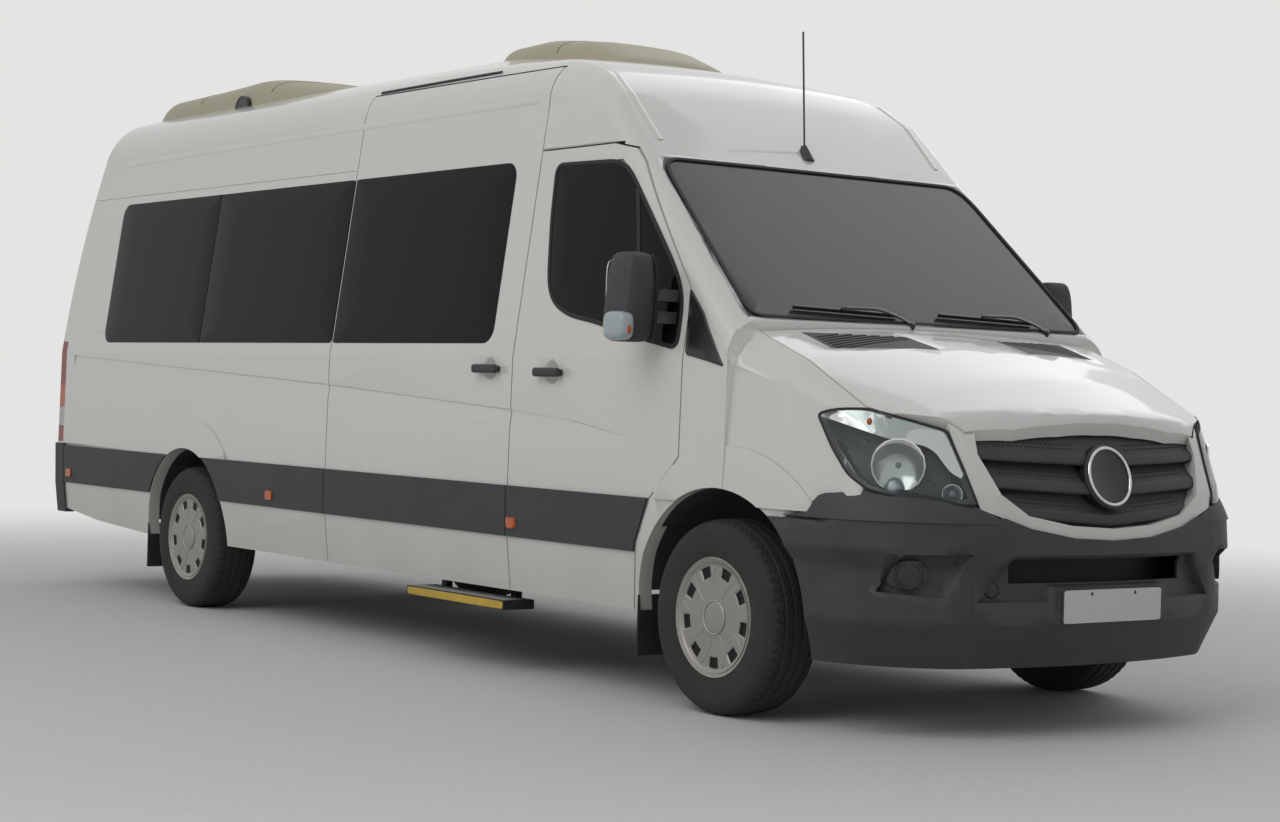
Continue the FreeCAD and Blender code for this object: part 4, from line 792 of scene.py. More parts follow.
def cap_details(x):
    """Thin curved ribs between the openings of the wheel trim, where angle = start + 0.22 x
    share^2 while the radius runs outwards, and two bright rings."""
    share = np.linspace(0, 1, 24)
    radius = 0.078 + 0.112 * share
    ribs = []
    for start in np.arange(OPENINGS) * 2 * math.pi / OPENINGS - 0.16:
        line = about_axle(x, radius, start + 0.22 * share ** 2, -trim_face(radius) - 0.0002)
        ribs.append(carried(line, (0, -1, 0), oval(0.0013, 0.0018, 8)))
    hub = hoop((0.0600, 0.0005), oval(0.0028, 0.0026, 10), (x, -WHEEL_Y - 0.1035, WHEEL_Z),
               (0, -1, 0), 72)
    lip = hoop((0.2165, 0.0045), oval(0.0016, 0.002, 8), (x, -WHEEL_Y - 0.1055, WHEEL_Z),
               (0, -1, 0), 96)
    return ribs + [hub, lip]


class MINIBUS_OT_fit_wheels(Operator):
    """Tyres with tread, and the ribs and rings of the wheel trims"""
    bl_idname = "minibus.fit_wheels"
    bl_label = "Fit the wheels"

    def execute(self, context):
        for end, x in (("front", FRONT_AXLE), ("rear", REAR_AXLE)):
            tyre, trim, details = [tyre_surface(x)], [wheel_trim(x)], cap_details(x)
            for side, turn in SIDES:
                name = f"{end}_{side}"
                body = "wheel_" + name
                fit_piece("tyre_tread_" + name, turn(tyre), "tyre_rubber", angle=WHEEL_ANGLE,
                          body=body, stands_for="tyre_" + name)
                fit_piece("wheel_trim_" + name, turn(trim), "trim_silver",
                          WHEEL_ANGLE, body)
                fit_piece("wheel_trim_ribs_" + name, turn(details), "bright_silver",
                          body=body)
        return {"FINISHED"}


# Headlamps. Their drawing is in distance along the vehicle's corner and height.

ROOT = math.sqrt(0.5)
LAMP_ALONG = np.array([ROOT, ROOT, 0.0])
LAMP_OUT = np.array([ROOT, -ROOT, 0.0])
LAMP = (np.array([FRONT_AXLE + 0.6, -0.6, 0.0]) + 0.8 * LAMP_OUT, LAMP_ALONG, -LAMP_OUT)
LAMP_NODES = ("headlamps", "front_wings", "grille_surround")
LENS = (
    (-0.300, 1.106), (-0.258, 1.121), (-0.190, 1.128), (-0.124, 1.129), (0.010, 1.097),
    (0.143, 1.063), (0.200, 0.945), (0.258, 0.812), (0.160, 0.814), (0.060, 0.819),
    (-0.040, 0.838), (-0.116, 0.856), (-0.184, 0.903), (-0.244, 0.993))
LENS_MIDDLE = (-0.02, 0.965)
COVER_LEVELS = (
    (0.0, 0.0028), (1.0, 0.0028), (1.0, 0.0045), (0.985, 0.006), (0.6, 0.006), (0.3, 0.006),
    (0.0, 0.006))
TRAY_LEVELS = (
    (0.0, -0.052), (0.8, -0.052), (1.0, -0.004), (1.0, 0.0006), (0.88, 0.0006), (0.80, -0.034),
    (0.4, -0.046), (0.0, -0.046))
BAND_LOW = (
    (-0.288, 1.098), (-0.238, 1.085), (-0.180, 1.067), (-0.110, 1.046), (-0.060, 1.031),
    (0.008, 1.020), (0.076, 1.007), (0.110, 0.986), (0.135, 0.953), (0.163, 0.920), (0.197, 0.902))
BAND_HIGH = (
    (-0.284, 1.106), (-0.250, 1.116), (-0.190, 1.122), (-0.130, 1.122), (-0.060, 1.106),
    (0.010, 1.090), (0.076, 1.073), (0.138, 1.056), (0.168, 0.995), (0.188, 0.950), (0.205, 0.915))
MAIN_LAMP, LOW_LAMP = (-0.015, 0.940), (-0.025, 0.864)
SMALL_LAMP, TURN_BULB = (0.170, 0.848), (-0.118, 1.085)


def lamp_spot(flat, depth):
    """The point a depth behind the lens at a place in the lamp."""
    spots, _ = drawn_on([flat], LAMP, LAMP_NODES)
    return spots[0] - depth * LAMP_OUT


def lamp_band():
    """A strip between two lines on the lamp: its front bulges as sin(pi v) across it."""
    low, high = evenly(BAND_LOW, 60, 1, False), evenly(BAND_HIGH, 60, 1, False)
    share = np.linspace(0, 1, 7)
    flat = low[:, None] + (high - low)[:, None] * share[None, :, None]
    spots, normals = drawn_on(flat, LAMP, LAMP_NODES)
    front = spots + normals * (0.0012 + 0.0004 * np.sin(math.pi * share))[None, :, None]
    back = spots[:, ::-1] - normals[:, ::-1] * 0.004
    return np.concatenate([front, back], 1)


def bowl(flat, radius, rim_depth, depth, count):
    """A facetted dish behind the lens: depth falls as the square of the radius."""
    share = np.array([1.06, 1.0, 0.85, 0.65, 0.42, 0.2, 0.0])
    fall = rim_depth + depth * (1 - np.minimum(share, 1) ** 2)
    inner = np.stack([radius * share, -fall], 1)
    outer = [(0.0, -rim_depth - depth - 0.004), (radius * 1.06, -rim_depth - 0.006)]
    return turned(np.concatenate([outer, inner]), lamp_spot(flat, 0.0), LAMP_OUT, count)


class MINIBUS_OT_fit_headlamps(Operator):
    """Headlamps: clear cover, grey housing, bright band, reflectors, lenses and bulb"""
    bl_idname = "minibus.fit_headlamps"
    bl_label = "Fit the headlamps"

    def execute(self, context):
        outline = evenly(LENS, 180, 2)
        cover, tray = (plate_on(outline, LAMP, LAMP_NODES, levels, LENS_MIDDLE)
                       for levels in (COVER_LEVELS, TRAY_LEVELS))
        seal = bead_on(outline, LAMP, LAMP_NODES, 0.002, oval(0.004, 0.004, 8), True)
        dishes = [bowl(MAIN_LAMP, 0.088, 0.010, 0.022, 18),
                  bowl(SMALL_LAMP, 0.033, 0.010, 0.020, 20)]
        glass = [ellipsoid(lamp_spot(spot, depth), half, 2.0) for spot, depth, half in (
            (LOW_LAMP, 0.026, (0.030, 0.036, 0.036)), (MAIN_LAMP, 0.028, (0.010, 0.011, 0.011)),
            (SMALL_LAMP, 0.018, (0.010, 0.014, 0.014)))]
        bulb = ellipsoid(lamp_spot(TURN_BULB, 0.0015), (0.010, 0.010, 0.013), 2.0, 13, 24)
        for name, grids, look, angle in (
                ("cover", [cover], "lamp_lens", 25), ("housing", [tray], "bezel", 30),
                ("seal", [seal], "rubber", 40), ("band", [lamp_band()], "reflector", 30),
                ("reflectors", dishes, "reflector", 8), ("lenses", glass, "lamp_glass", 40),
                ("turn_bulb", [bulb], "orange_lens", 40)):
            fit_piece("headlamp_" + name, both(grids), look, angle,
                      stands_for="headlamps" if name == "cover" else None)
        return {"FINISHED"}


# Grille

NOSE_TIP = FRONT_AXLE + 1.05
NOSE_HALF = 0.6
NOSE_ROWS = ((0.70, 0.014, 0.085), (0.85, 0.026, 0.098), (1.13, 0.106, 0.212))
SLATS = ((0.990, 0.968), (0.898, 0.866), (0.806, 0.762))
SLAT_HALF, SLAT_END, TOP_SHELF = 0.021, 0.64, 1.09
GRILLE_HALF, GRILLE_DEPTH, GRILLE_BACK = 0.556, 0.056, 0.068
GRILLE_LOW = ((0, 0.2, 0.39, 0.5, GRILLE_HALF), (0.731, 0.742, 0.776, 0.846, 0.980))
GRILLE_HIGH = ((0, 0.3, 0.5, 0.548, GRILLE_HALF), (1.066, 1.066, 1.052, 1.040, 0.99))
SLOT_START, SLOT_PITCH, SLOTS_LONG = 0.135, 0.0182, 22
BADGE_Z, BADGE_RADIUS = 0.913, 0.102
BADGE_DISC = (
    (0.0, 0.004), (0.086, 0.001), (0.092, 0.004), (0.108, 0.006), (0.116, 0.0), (0.118, -0.045),
    (0.0, -0.045))


def nose_x(y, z):
    """The nose's front at a place seen from ahead: tip - centre - (shoulder - centre)(y/0.6)^2."""
    heights, centres, shoulders = np.array(NOSE_ROWS).T
    centre = np.interp(z, heights, centres)
    shoulder = np.interp(z, heights, shoulders)
    return NOSE_TIP - centre - (shoulder - centre) * (y / NOSE_HALF) ** 2


def slat_line(index, y):
    end, middle = SLATS[index]
    return middle + (end - middle) * np.abs(y) / SLAT_END


def grille_depth(y, z):
    """How far the grille lies behind the nose: 12 mm on a slat's rounded face, then a shelf
    over it that falls back from 20 mm to 56 mm as (share of the gap)^0.7, with an undercut
    above."""
    depth = np.full(np.broadcast(y, z).shape, GRILLE_DEPTH)
    tops = [np.full_like(depth, TOP_SHELF)] + [slat_line(index, y) - SLAT_HALF for index in (0, 1)]
    for index, top in enumerate(tops):
        line = slat_line(index, y)
        foot = line + SLAT_HALF
        share = np.clip((z - foot) / np.maximum(top - foot, 0.01), 0, 1)
        shelf = 0.020 + 0.036 * share ** 0.7
        face = 0.012 + 0.008 * ((z - line) / SLAT_HALF) ** 4
        depth = np.where((z >= foot) & (z <= top), shelf, depth)
        depth = np.where(np.abs(z - line) < SLAT_HALF, face, depth)
    return depth


class MINIBUS_OT_fit_grille(Operator):
    """Grille with chevron slats, shelves dotted with black pits of painted shade for slots, and a
    plain round badge
    """
    bl_idname = "minibus.fit_grille"
    bl_label = "Fit the grille"

    def execute(self, context):
        y = np.linspace(-GRILLE_HALF, GRILLE_HALF, 181)[:, None]
        low, high = (np.interp(np.abs(y), *edge) for edge in (GRILLE_LOW, GRILLE_HIGH))
        z = low + (high - low) * np.linspace(0, 1, 170)[None, :]
        front, back = (np.stack([nose_x(y, z) - depth, y + 0 * z, z], -1)
                       for depth in (grille_depth(y, z), GRILLE_BACK))
        fit_piece("grille_louvres", [np.concatenate([front, back[:, ::-1]], 1)],
                  "charcoal_plastic", angle=28, stands_for="grille")
        self.dot_slot_shade()
        self.fit_badge()
        return {"FINISHED"}

    def dot_slot_shade(self):
        """Two rows of small black pits over each slat on each side of the badge: painted shade for
        the dark inside of slots.
        """
        pit = ellipsoid((0, 0, 0), (0.0022, 0.0052, 0.0050), 3.0, 5, 8)
        y = SLOT_START + SLOT_PITCH * np.arange(SLOTS_LONG)
        slots = []
        for index in range(len(SLATS)):
            for row, rise in enumerate((0.012, 0.026)):
                across = y[:SLOTS_LONG - 3 * index - row]
                height = slat_line(index, across) + SLAT_HALF + rise
                depth = grille_depth(across, height)
                spots = np.stack([nose_x(across, height) - depth, across, height], 1)
                slots += [spot + pit for spot in spots]
        # painted shade: black pits where the slots' dark insides would show
        fit_piece("grille_slots", both(slots), "rubber", 60)

    def fit_badge(self):
        """A plain disc in a plain ring, leaning back with the nose."""
        axis = (1.0, 0.0, 0.27)
        centre = (float(nose_x(0.0, BADGE_Z)) - 0.010, 0.0, BADGE_Z)
        disc = turned(BADGE_DISC, centre, axis, 96)
        ring = hoop((BADGE_RADIUS, 0.009), oval(0.0065, 0.006, 14), centre, axis, 96)
        fit_piece("badge_disc", [disc], "gloss_black")
        fit_piece("badge_ring", [ring], "chrome")


# Bumper. A plan is how far the front's middle, its shoulder and its round corner lie behind
# the nose, the corner's y, and the x and y at which the side starts.

PLAN_Z, PLAN_RISE = 0.77, 0.08
BUMPER_LOW_PLAN = (0.004, 0.078, 0.194, 0.812, 0.380, 0.970)
BUMPER_HIGH_PLAN = (0.022, 0.092, 0.222, 0.798, 0.400, 0.985)
LIP_LOW = 0.752
BUMPER_EDGE = (
    (0.52, 0.772), (0.55, 0.786), (0.592, 0.806), (0.72, 0.834), (0.85, 0.862), (1.0, 0.868))
WING_EDGE = (
    (0.500, 0.754), (0.515, 0.780), (0.530, 0.812), (0.545, 0.828), (0.575, 0.837),
    (0.625, 0.841), (0.66, 0.846), (0.70, 0.852), (0.72, 0.858), (0.76, 0.868))
DUCT_Z, DUCT_FLARE = (0.470, 0.48, 0.60, 0.72, 0.735), (0.06, 0.008, 0.004, 0.008, 0.06)
PLATE_X = NOSE_TIP - 0.014
PLATE_MIDDLE, PLATE_HALF, PLATE_POINTS = (0.0, 0.465), (0.248, 0.058), 96
PLATE_LEVELS = ((0, 0.001), (1, 0.001), (1, 0.0035), (0.985, 0.0045), (0, 0.0045))
HOLDER_LEVELS = (
    (0, -0.002), (1.045, -0.002), (1.045, 0.002), (1.03, 0.004), (1.0, 0.004), (1.0, 0.0), (0, 0.0))
SCREW_Y, SCREW_Z = 0.11, 0.508
SCREW = ((0, 0.003), (0.006, 0.003), (0.006, 0.0055), (0.004, 0.0065), (0, 0.0065))
TOW_EDGES, FOG_MIDDLE = ((-0.505, 0.557), (-0.505, 0.487)), (-0.792, 0.572)
TOW_CAP = (
    (0, -0.012), (0.0262, -0.012), (0.0262, 0.0), (0.024, 0.0022), (0.012, 0.0034), (0, 0.0036))
FOG_DISC = (
    (0, -0.02), (0.048, -0.02), (0.050, 0.002), (0.047, 0.006), (0.041, 0.006), (0.038, 0.002),
    (0, 0.004))


def arc_through(start, middle, end, count):
    """Points on the circle through three points, from the first to the last."""
    start, middle, end = (np.asarray(spot, float) for spot in (start, middle, end))
    rows = 2 * np.array([middle - start, end - start])
    centre = np.linalg.solve(rows, [middle @ middle - start @ start, end @ end - start @ start])
    first, last = (math.atan2(*(spot - centre)[::-1]) for spot in (start, end))
    if last < first:
        last += 2 * math.pi
    turn = np.linspace(first, last, count)
    return centre + np.linalg.norm(start - centre) * np.stack([np.cos(turn), np.sin(turn)], 1)


def bumper_plan(row):
    """The bumper's outline from above on the left: a bowed front, then a round corner."""
    centre, shoulder, corner, corner_y, side_x, side_y = row
    y = np.linspace(0.52, NOSE_HALF, 8)[:-1]
    bow = centre + (shoulder - centre) * (y / NOSE_HALF) ** 2
    bend = arc_through((NOSE_TIP - shoulder, NOSE_HALF), (NOSE_TIP - corner, corner_y),
                       (FRONT_AXLE + side_x, side_y), 60)
    return np.concatenate([np.stack([NOSE_TIP - bow, y], 1), bend])


def plate_rings(levels):
    """Rings of the number plate's rounded rectangle, scaled to each level's share."""
    shape = oval(*PLATE_HALF, PLATE_POINTS, 24.0)
    return np.stack([
        np.insert(PLATE_MIDDLE + shape * scale, 0, PLATE_X + rise, 1) for scale, rise in levels])


class MINIBUS_OT_fit_bumper(Operator):
    """Upper lip of the bumper, a black duct wall that is partly painted shade, blank number plate
    and round covers
    """
    bl_idname = "minibus.fit_bumper"
    bl_label = "Fit the bumper"

    def execute(self, context):
        fit_piece("bumper_lip", both([self.lip()]), "charcoal_plastic")
        self.fit_duct()
        self.fit_plate()
        self.fit_covers()
        return {"FINISHED"}

    def lip(self):
        """The bumper's top from its CAD edge up to the lamp: each column runs straight from
        the lower outline to the higher one, and ends at the edge line's height."""
        low, high = bumper_plan(BUMPER_LOW_PLAN), bumper_plan(BUMPER_HIGH_PLAN)
        top = np.minimum(np.interp(low[:, 1], *np.array(BUMPER_EDGE).T),
                         np.interp(low[:, 0] - FRONT_AXLE, *np.array(WING_EDGE).T))
        share = np.linspace(0, 1, 8)
        z = LIP_LOW + (top[:, None] - LIP_LOW) * share
        lean = ((z - PLAN_Z) / PLAN_RISE)[..., None]
        outer = np.concatenate([low[:, None] + (high - low)[:, None] * lean, z[..., None]], -1)
        x, y = low.T
        out = unit(np.stack([np.gradient(y), -np.gradient(x), 0 * x], 1))[:, None]
        out = out * np.sign(out[:, :, :1] + out[:, :, 1:2])
        outer = outer + (0.0008 - 0.012 * share ** 2)[None, :, None] * out
        inner = outer - 0.03 * out
        return np.concatenate([outer, inner[:, ::-1]], 1)

    def fit_duct(self):
        """A black wall behind the intake slot, bowed as the nose is: partly the real duct there,
        and partly painted shade for the dark inside of the intake.
        """
        y = np.linspace(-0.72, 0.72, 41)[:, None]
        z = np.array(DUCT_Z)[None, :]
        wall = NOSE_TIP - 0.15 - 0.15 * (y / 0.7) ** 2 + 0 * z
        front, back = (np.stack([x, y + 0 * z, z + 0 * y], -1)
                       for x in (wall + np.array(DUCT_FLARE), wall - 0.006))
        # painted shade in part: the black wall closes the intake's see-through
        fit_piece("intake_duct", [np.concatenate([front, back[:, ::-1]], 1)], "rubber")

    def fit_plate(self):
        """A blank plate with two screws in a thin dark holder."""
        screws = [turned(SCREW, (PLATE_X, y, SCREW_Z), (1, 0, 0), 20)
                  for y in (-SCREW_Y, SCREW_Y)]
        fit_piece("number_plate_blank", [plate_rings(PLATE_LEVELS)], "blank_white")
        fit_piece("number_plate_holder", [plate_rings(HOLDER_LEVELS)] + screws, "gloss_black")

    def fit_covers(self):
        """Round covers of the towing eye and of the fog lamp places."""
        spots, normals = drawn_on(TOW_EDGES, FRONT, ("front_bumper",))
        middle, axis = spots.mean(0), normals.mean(0)
        cap = turned(TOW_CAP, middle, axis, 40)
        ring = hoop((0.0285, 0.0005), oval(0.0014, 0.0018, 8), middle, axis, 48)
        fit_piece("tow_cover", [cap, ring], "charcoal_plastic")
        spots, normals = drawn_on([FOG_MIDDLE], FRONT, ("front_bumper",))
        fit_piece("fog_lamp_covers", both([turned(FOG_DISC, spots[0], normals[0], 56)]),
                  "gloss_black")


# Mirrors and door trim

MIRROR_MIDDLE = (FRONT_AXLE - 0.362, -1.1180, 1.5135)
MIRROR_HALF = (0.078, 0.0840, 0.1665)
ARM_END_Y, ARM_TOP_Z = 1.045, 1.33
MARKER_X, MARKER_Z, MARKER_HALF, MARKER_Y = -1.284, 0.618, (0.033, 0.024), 0.996


def mirror_head():
    """A rounded block drawn in on its outer side towards the top: outward reach x
    (1 - 0.23 (1 + height share)), and a front face bowed back towards its edges."""
    grid = ellipsoid((0, 0, 0), MIRROR_HALF, 5.0, 41, 64)
    x, y, z = np.moveaxis(grid, -1, 0)
    rise = z / MIRROR_HALF[2]
    y = y * np.where(y < 0, 1 - 0.23 * (1 + rise), 1.0)
    bow = np.where(x > 0, 1 - 0.16 * (y / 0.09) ** 2 - 0.10 * rise ** 2, 1.0)
    return MIRROR_MIDDLE + np.stack([x * bow, y, z], -1)


class MINIBUS_OT_fit_mirrors(Operator):
    """Door bands, handles and markers, with remade mirror heads, glass and indicators"""
    bl_idname = "minibus.fit_mirrors"
    bl_label = "Fit the mirrors"

    def execute(self, context):
        head = mirror_head()
        glass = ellipsoid((FRONT_AXLE - 0.4385, -1.108, 1.515), (0.004, 0.060, 0.138), 6.0, 21)
        clear = ellipsoid((FRONT_AXLE - 0.343, -1.1760, 1.405), (0.0660, 0.0358, 0.054), 3.6)
        amber = ellipsoid(
            (FRONT_AXLE - 0.279, -1.1740, 1.392), (0.0035, 0.010, 0.018), 2.0, 13, 24)
        for side, turn in SIDES:
            body = "front_door_" + side
            trim = merged_copy("front_door_trim_" + side)
            self.part_head(trim)
            dress(trim, "charcoal_plastic", body)
            self.colour_marker(trim)
            for name, grid, look, slot in (
                    ("head", head, "charcoal_plastic", "charcoal_plastic"),
                    ("glass", glass, "mirror_glass", "dark_glass"),
                    ("indicator", clear, "lamp_glass", "lamp_lens"),
                    ("indicator_bulb", amber, "orange_lens", "orange_lens")):
                fit_piece(f"mirror_{name}_{side}", turn([grid]), look, 50, body)
        return {"FINISHED"}

    def part_head(self, trim):
        """Takes the CAD head off the copy, outside its arms."""
        work = bmesh.new()
        work.from_mesh(trim.data)
        head = [spot for spot in work.verts
                if abs(spot.co.y) > ARM_END_Y and spot.co.z > ARM_TOP_Z]
        bmesh.ops.delete(work, geom=head, context="VERTS")
        bmesh.ops.holes_fill(work, edges=[edge for edge in work.edges if edge.is_boundary])
        work.to_mesh(trim.data)
        work.free()

    def colour_marker(self, trim):
        """Faces of the side marker, near the door's rear edge, take the amber finish."""
        trim.data.materials.append(finish("orange_lens"))
        centres = np.empty(len(trim.data.polygons) * 3)
        trim.data.polygons.foreach_get("center", centres)
        x, y, z = (centres.reshape(-1, 3) - (FRONT_AXLE, 0, 0)).T
        amber = (np.abs(x - MARKER_X) < MARKER_HALF[0]) & (np.abs(z - MARKER_Z) < MARKER_HALF[1])
        amber &= np.abs(y) > MARKER_Y
        trim.data.polygons.foreach_set("material_index", amber.astype(np.int32))


# Wipers: each pivot's y, and the y at which its blade starts and ends

WIPERS = ((0.640, 0.585, 0.080), (-0.090, -0.145, -0.650))
BLADE_Z, BLADE_RISE = 1.474, 0.012
PIVOT_CAP = (
    (0, -0.02), (0.016, -0.02), (0.017, 0.004), (0.014, 0.011), (0.006, 0.014), (0, 0.0145))


class MINIBUS_OT_fit_wipers(Operator):
    """Two wipers: pivot cap, bent arm, blade frame and rubber"""
    bl_idname = "minibus.fit_wipers"
    bl_label = "Fit the wipers"

    def execute(self, context):
        arms, rubbers = [], []
        for pivot, near, far in WIPERS:
            share = np.linspace(0, 1, 40)
            line = np.stack([np.linspace(near, far, 40), BLADE_Z + BLADE_RISE * share], 1)
            spots, normals = drawn_on(line, FRONT, SCREEN)
            out = normals[20]
            arms.append(carried(spots + 0.014 * normals, normals, oval(0.0055, 0.004, 10, 3.0)))
            rubbers.append(
                carried(spots + 0.0055 * normals, normals, oval(0.0022, 0.0055, 8, 3.0)))
            start = np.array([FRONT_AXLE + 0.060, pivot, 1.447])
            middle = spots[20] + 0.026 * out
            bend = [start, start + (0.004, -0.035, 0.020), spots[8] + 0.034 * normals[8], middle]
            arms += [carried(evenly(bend, 30, 3, False), out, oval(0.008, 0.004, 10, 3.0)),
                     turned(PIVOT_CAP, start, (0.45, 0, 0.9), 28),
                     ellipsoid(middle - 0.006 * out, (0.012, 0.024, 0.010), 3.0, 13, 20)]
        fit_piece("wiper_arms", arms, "gloss_black", stands_for="wipers")
        fit_piece("wiper_rubbers", rubbers, "rubber")
        return {"FINISHED"}


# Seats

SEAT_FLOOR = 0.66
CAB_SEATS = ((0.18, 0.66), (-0.68, -0.20), (-0.19, 0.15))
LEFT_SEAT, RIGHT_SEAT, REAR_BENCH = (0.33, 0.80), (-0.80, -0.38), (-0.78, 0.78)
CAB_SEAT_X, FIRST_ROW_X, ROW_PITCH, ROWS, BENCH_X = -1.0, -2.10, 0.8, 4, -5.35
BACK_TILT = -0.21
SEAMS = (-0.62, 0.62)


def tilted(grid, x, y, z, angle):
    """Turned about an axis across the vehicle: x' = x cos a + z sin a, z' = z cos a - x sin a,
    and moved to a place over the seats' floor."""
    ahead, up = grid[..., 0], grid[..., 2]
    return np.array([FRONT_AXLE + x, y, SEAT_FLOOR + z]) + np.stack([
        ahead * math.cos(angle) + up * math.sin(angle), grid[..., 1],
        up * math.cos(angle) - ahead * math.sin(angle)], -1)


def pad(half, seams, thick_axis):
    """A stuffed pad: a rounded block, crowned by a tenth in the middle and drawn in along
    sewn seams, each a dent of 8 mm x exp(-((y - seam)/7 mm)^2)."""
    grid = ellipsoid((0, 0, 0), half, 4.5)
    y = grid[..., 1]
    dent = sum(np.exp(-((y - seam * half[1]) / 0.007) ** 2) for seam in seams)
    crown = 1 + 0.10 * (1 - (y / half[1]) ** 2) - 0.009 / half[thick_axis] * dent
    grid[..., thick_axis] *= crown / 1.1
    return grid


def seat_pads(x, right, left):
    """Cushion, back and head pad of one seat between two sides."""
    middle, half = (right + left) / 2, (left - right) / 2 - 0.012
    cushion, back = pad((0.225, half, 0.052), SEAMS, 2), pad((0.050, half, 0.290), SEAMS, 0)
    head = pad((0.040, min(half, 0.135), 0.066), (), 0)
    return [tilted(cushion, x + 0.035, middle, 0.348, -0.06),
            tilted(back, x - 0.232, middle, 0.640, BACK_TILT),
            tilted(head, x - 0.303, middle, 0.985, -0.10)]


def seat_frame(x, right, left):
    """A rounded pedestal under the cushion and a shell behind the back."""
    middle, half = (right + left) / 2, (left - right) / 2
    foot = ellipsoid((0, 0, 0), (0.185, half - 0.05, 0.148), 9.0, 17, 32)
    shell = ellipsoid((0, 0, 0), (0.016, half - 0.004, 0.285), 6.0, 17, 32)
    return [tilted(foot, x + 0.01, middle, 0.149, 0),
            tilted(shell, x - 0.275, middle, 0.60, BACK_TILT)]


class MINIBUS_OT_fit_seats(Operator):
    """Padded seats with sewn seams on moulded frames"""
    bl_idname = "minibus.fit_seats"
    bl_label = "Fit the seats"

    def execute(self, context):
        rows = {"cab": [(CAB_SEAT_X, *sides) for sides in CAB_SEATS]}
        for index in range(ROWS):
            x = FIRST_ROW_X - index * ROW_PITCH
            rows[f"row_{index + 1}"] = [(x, *LEFT_SEAT)] + ([(x, *RIGHT_SEAT)] if index else [])
        edges = np.linspace(*REAR_BENCH, 5)
        rows["bench"] = [(BENCH_X, right, left) for right, left in zip(edges, edges[1:])]
        frames = []
        for name, seats in rows.items():
            pads = [grid for seat in seats for grid in seat_pads(*seat)]
            frames += [grid for seat in seats for grid in seat_frame(*seat)]
            piece = fit_piece("seat_pads_" + name, pads, "seat_fabric", angle=50)
            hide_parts("seats")
        fit_piece("seat_frames", frames, "dash_grey", angle=40, stands_for="seats")
        return {"FINISHED"}


# Roof, rear and step. A roof unit's rows are x, the height of its top, and its half width;
# a joint line is a unit's number and the number of one of its cover's rings.

REAR_POD = (
    (-5.815, 2.560, 0.535), (-5.80, 2.650, 0.545), (-5.685, 2.752, 0.556), (-5.08, 2.764, 0.560),
    (-4.605, 2.784, 0.560), (-4.09, 2.700, 0.470), (-3.89, 2.655, 0.390), (-3.86, 2.600, 0.370))
FRONT_POD = (
    (-2.515, 2.620, 0.360), (-2.50, 2.690, 0.370), (-2.43, 2.745, 0.385), (-2.15, 2.752, 0.390),
    (-1.85, 2.716, 0.380), (-1.60, 2.625, 0.320), (-1.57, 2.590, 0.300))
POD_FOOT = 2.48
POD_JOINTS = ((0, 24), (0, 50), (1, 40))
OUTLET = ((0, -0.02), (0.078, -0.02), (0.078, 0.006), (0.072, 0.008), (0.066, 0.004), (0, 0.002))
ROOF_STRIP = ((-2.815, 2.507), (-1.824, 2.515))
SIDE_CREASE = ((-5.50, 2.325), (-4.50, 2.335), (-3.00, 2.345), (-1.42, 2.352))
FRONT_RIDGE = (
    (FRONT_AXLE - 1.207, -0.682, 2.60), (FRONT_AXLE - 0.849, -0.775, 2.45),
    (FRONT_AXLE - 0.659, -0.782, 2.30))
STEP_REAR, STEP_FRONT, STEP_TOP = -2.055, -1.325, 0.3005
BRAKE_LAMP_LEVELS = ((0, -0.002), (1, -0.002), (1, 0.006), (0.9, 0.010), (0, 0.010))


def roof_pod(rows):
    """A cooling unit's cover: each cross-section is a superellipse of power 5 from the roof to
    the row's height, its sides leaning in by a tenth and its top crowned by 14 mm."""
    x, top, width = evenly(rows, 72, 2, False).T[..., None]
    angle = np.linspace(0, 2 * math.pi, 72, endpoint=False)
    across, up = swelled(np.cos(angle), 5), swelled(np.sin(angle), 5)
    z = POD_FOOT + (top - POD_FOOT) / 2 * (1 + up) - 0.014 * across ** 2 * (up > 0)
    y = width * across * (0.95 - 0.05 * up)
    grid = np.stack([FRONT_AXLE + x + 0 * y, y, z], -1)
    ends = [np.broadcast_to(ring.mean(0), (1, *ring.shape)) for ring in (grid[0], grid[-1])]
    return np.concatenate([ends[0], grid, ends[1]])


class MINIBUS_OT_fit_roof(Operator):
    """Rounded covers of the two roof cooling units, with joint lines and outlets"""
    bl_idname = "minibus.fit_roof"
    bl_label = "Fit the roof units"

    def execute(self, context):
        pods = [roof_pod(REAR_POD), roof_pod(FRONT_POD)]
        fit_piece("roof_unit_covers", pods, "cream_plastic", angle=40, stands_for="roof_ac_units")
        joints = []
        for index, row in POD_JOINTS:
            ring = pods[index][row]
            line = ring[2:35]
            joints.append(carried(line, unit(line - ring.mean(0)), oval(0.003, 0.0012, 8)))
        fit_piece("roof_unit_joints", joints, "rubber")
        outlets = [turned(OUTLET, (FRONT_AXLE - 4.68, side * 0.545, 2.594), (0, side, 0), 40)
                   for side in (1, -1)]
        fit_piece("roof_unit_outlets", outlets, "gloss_black")
        return {"FINISHED"}


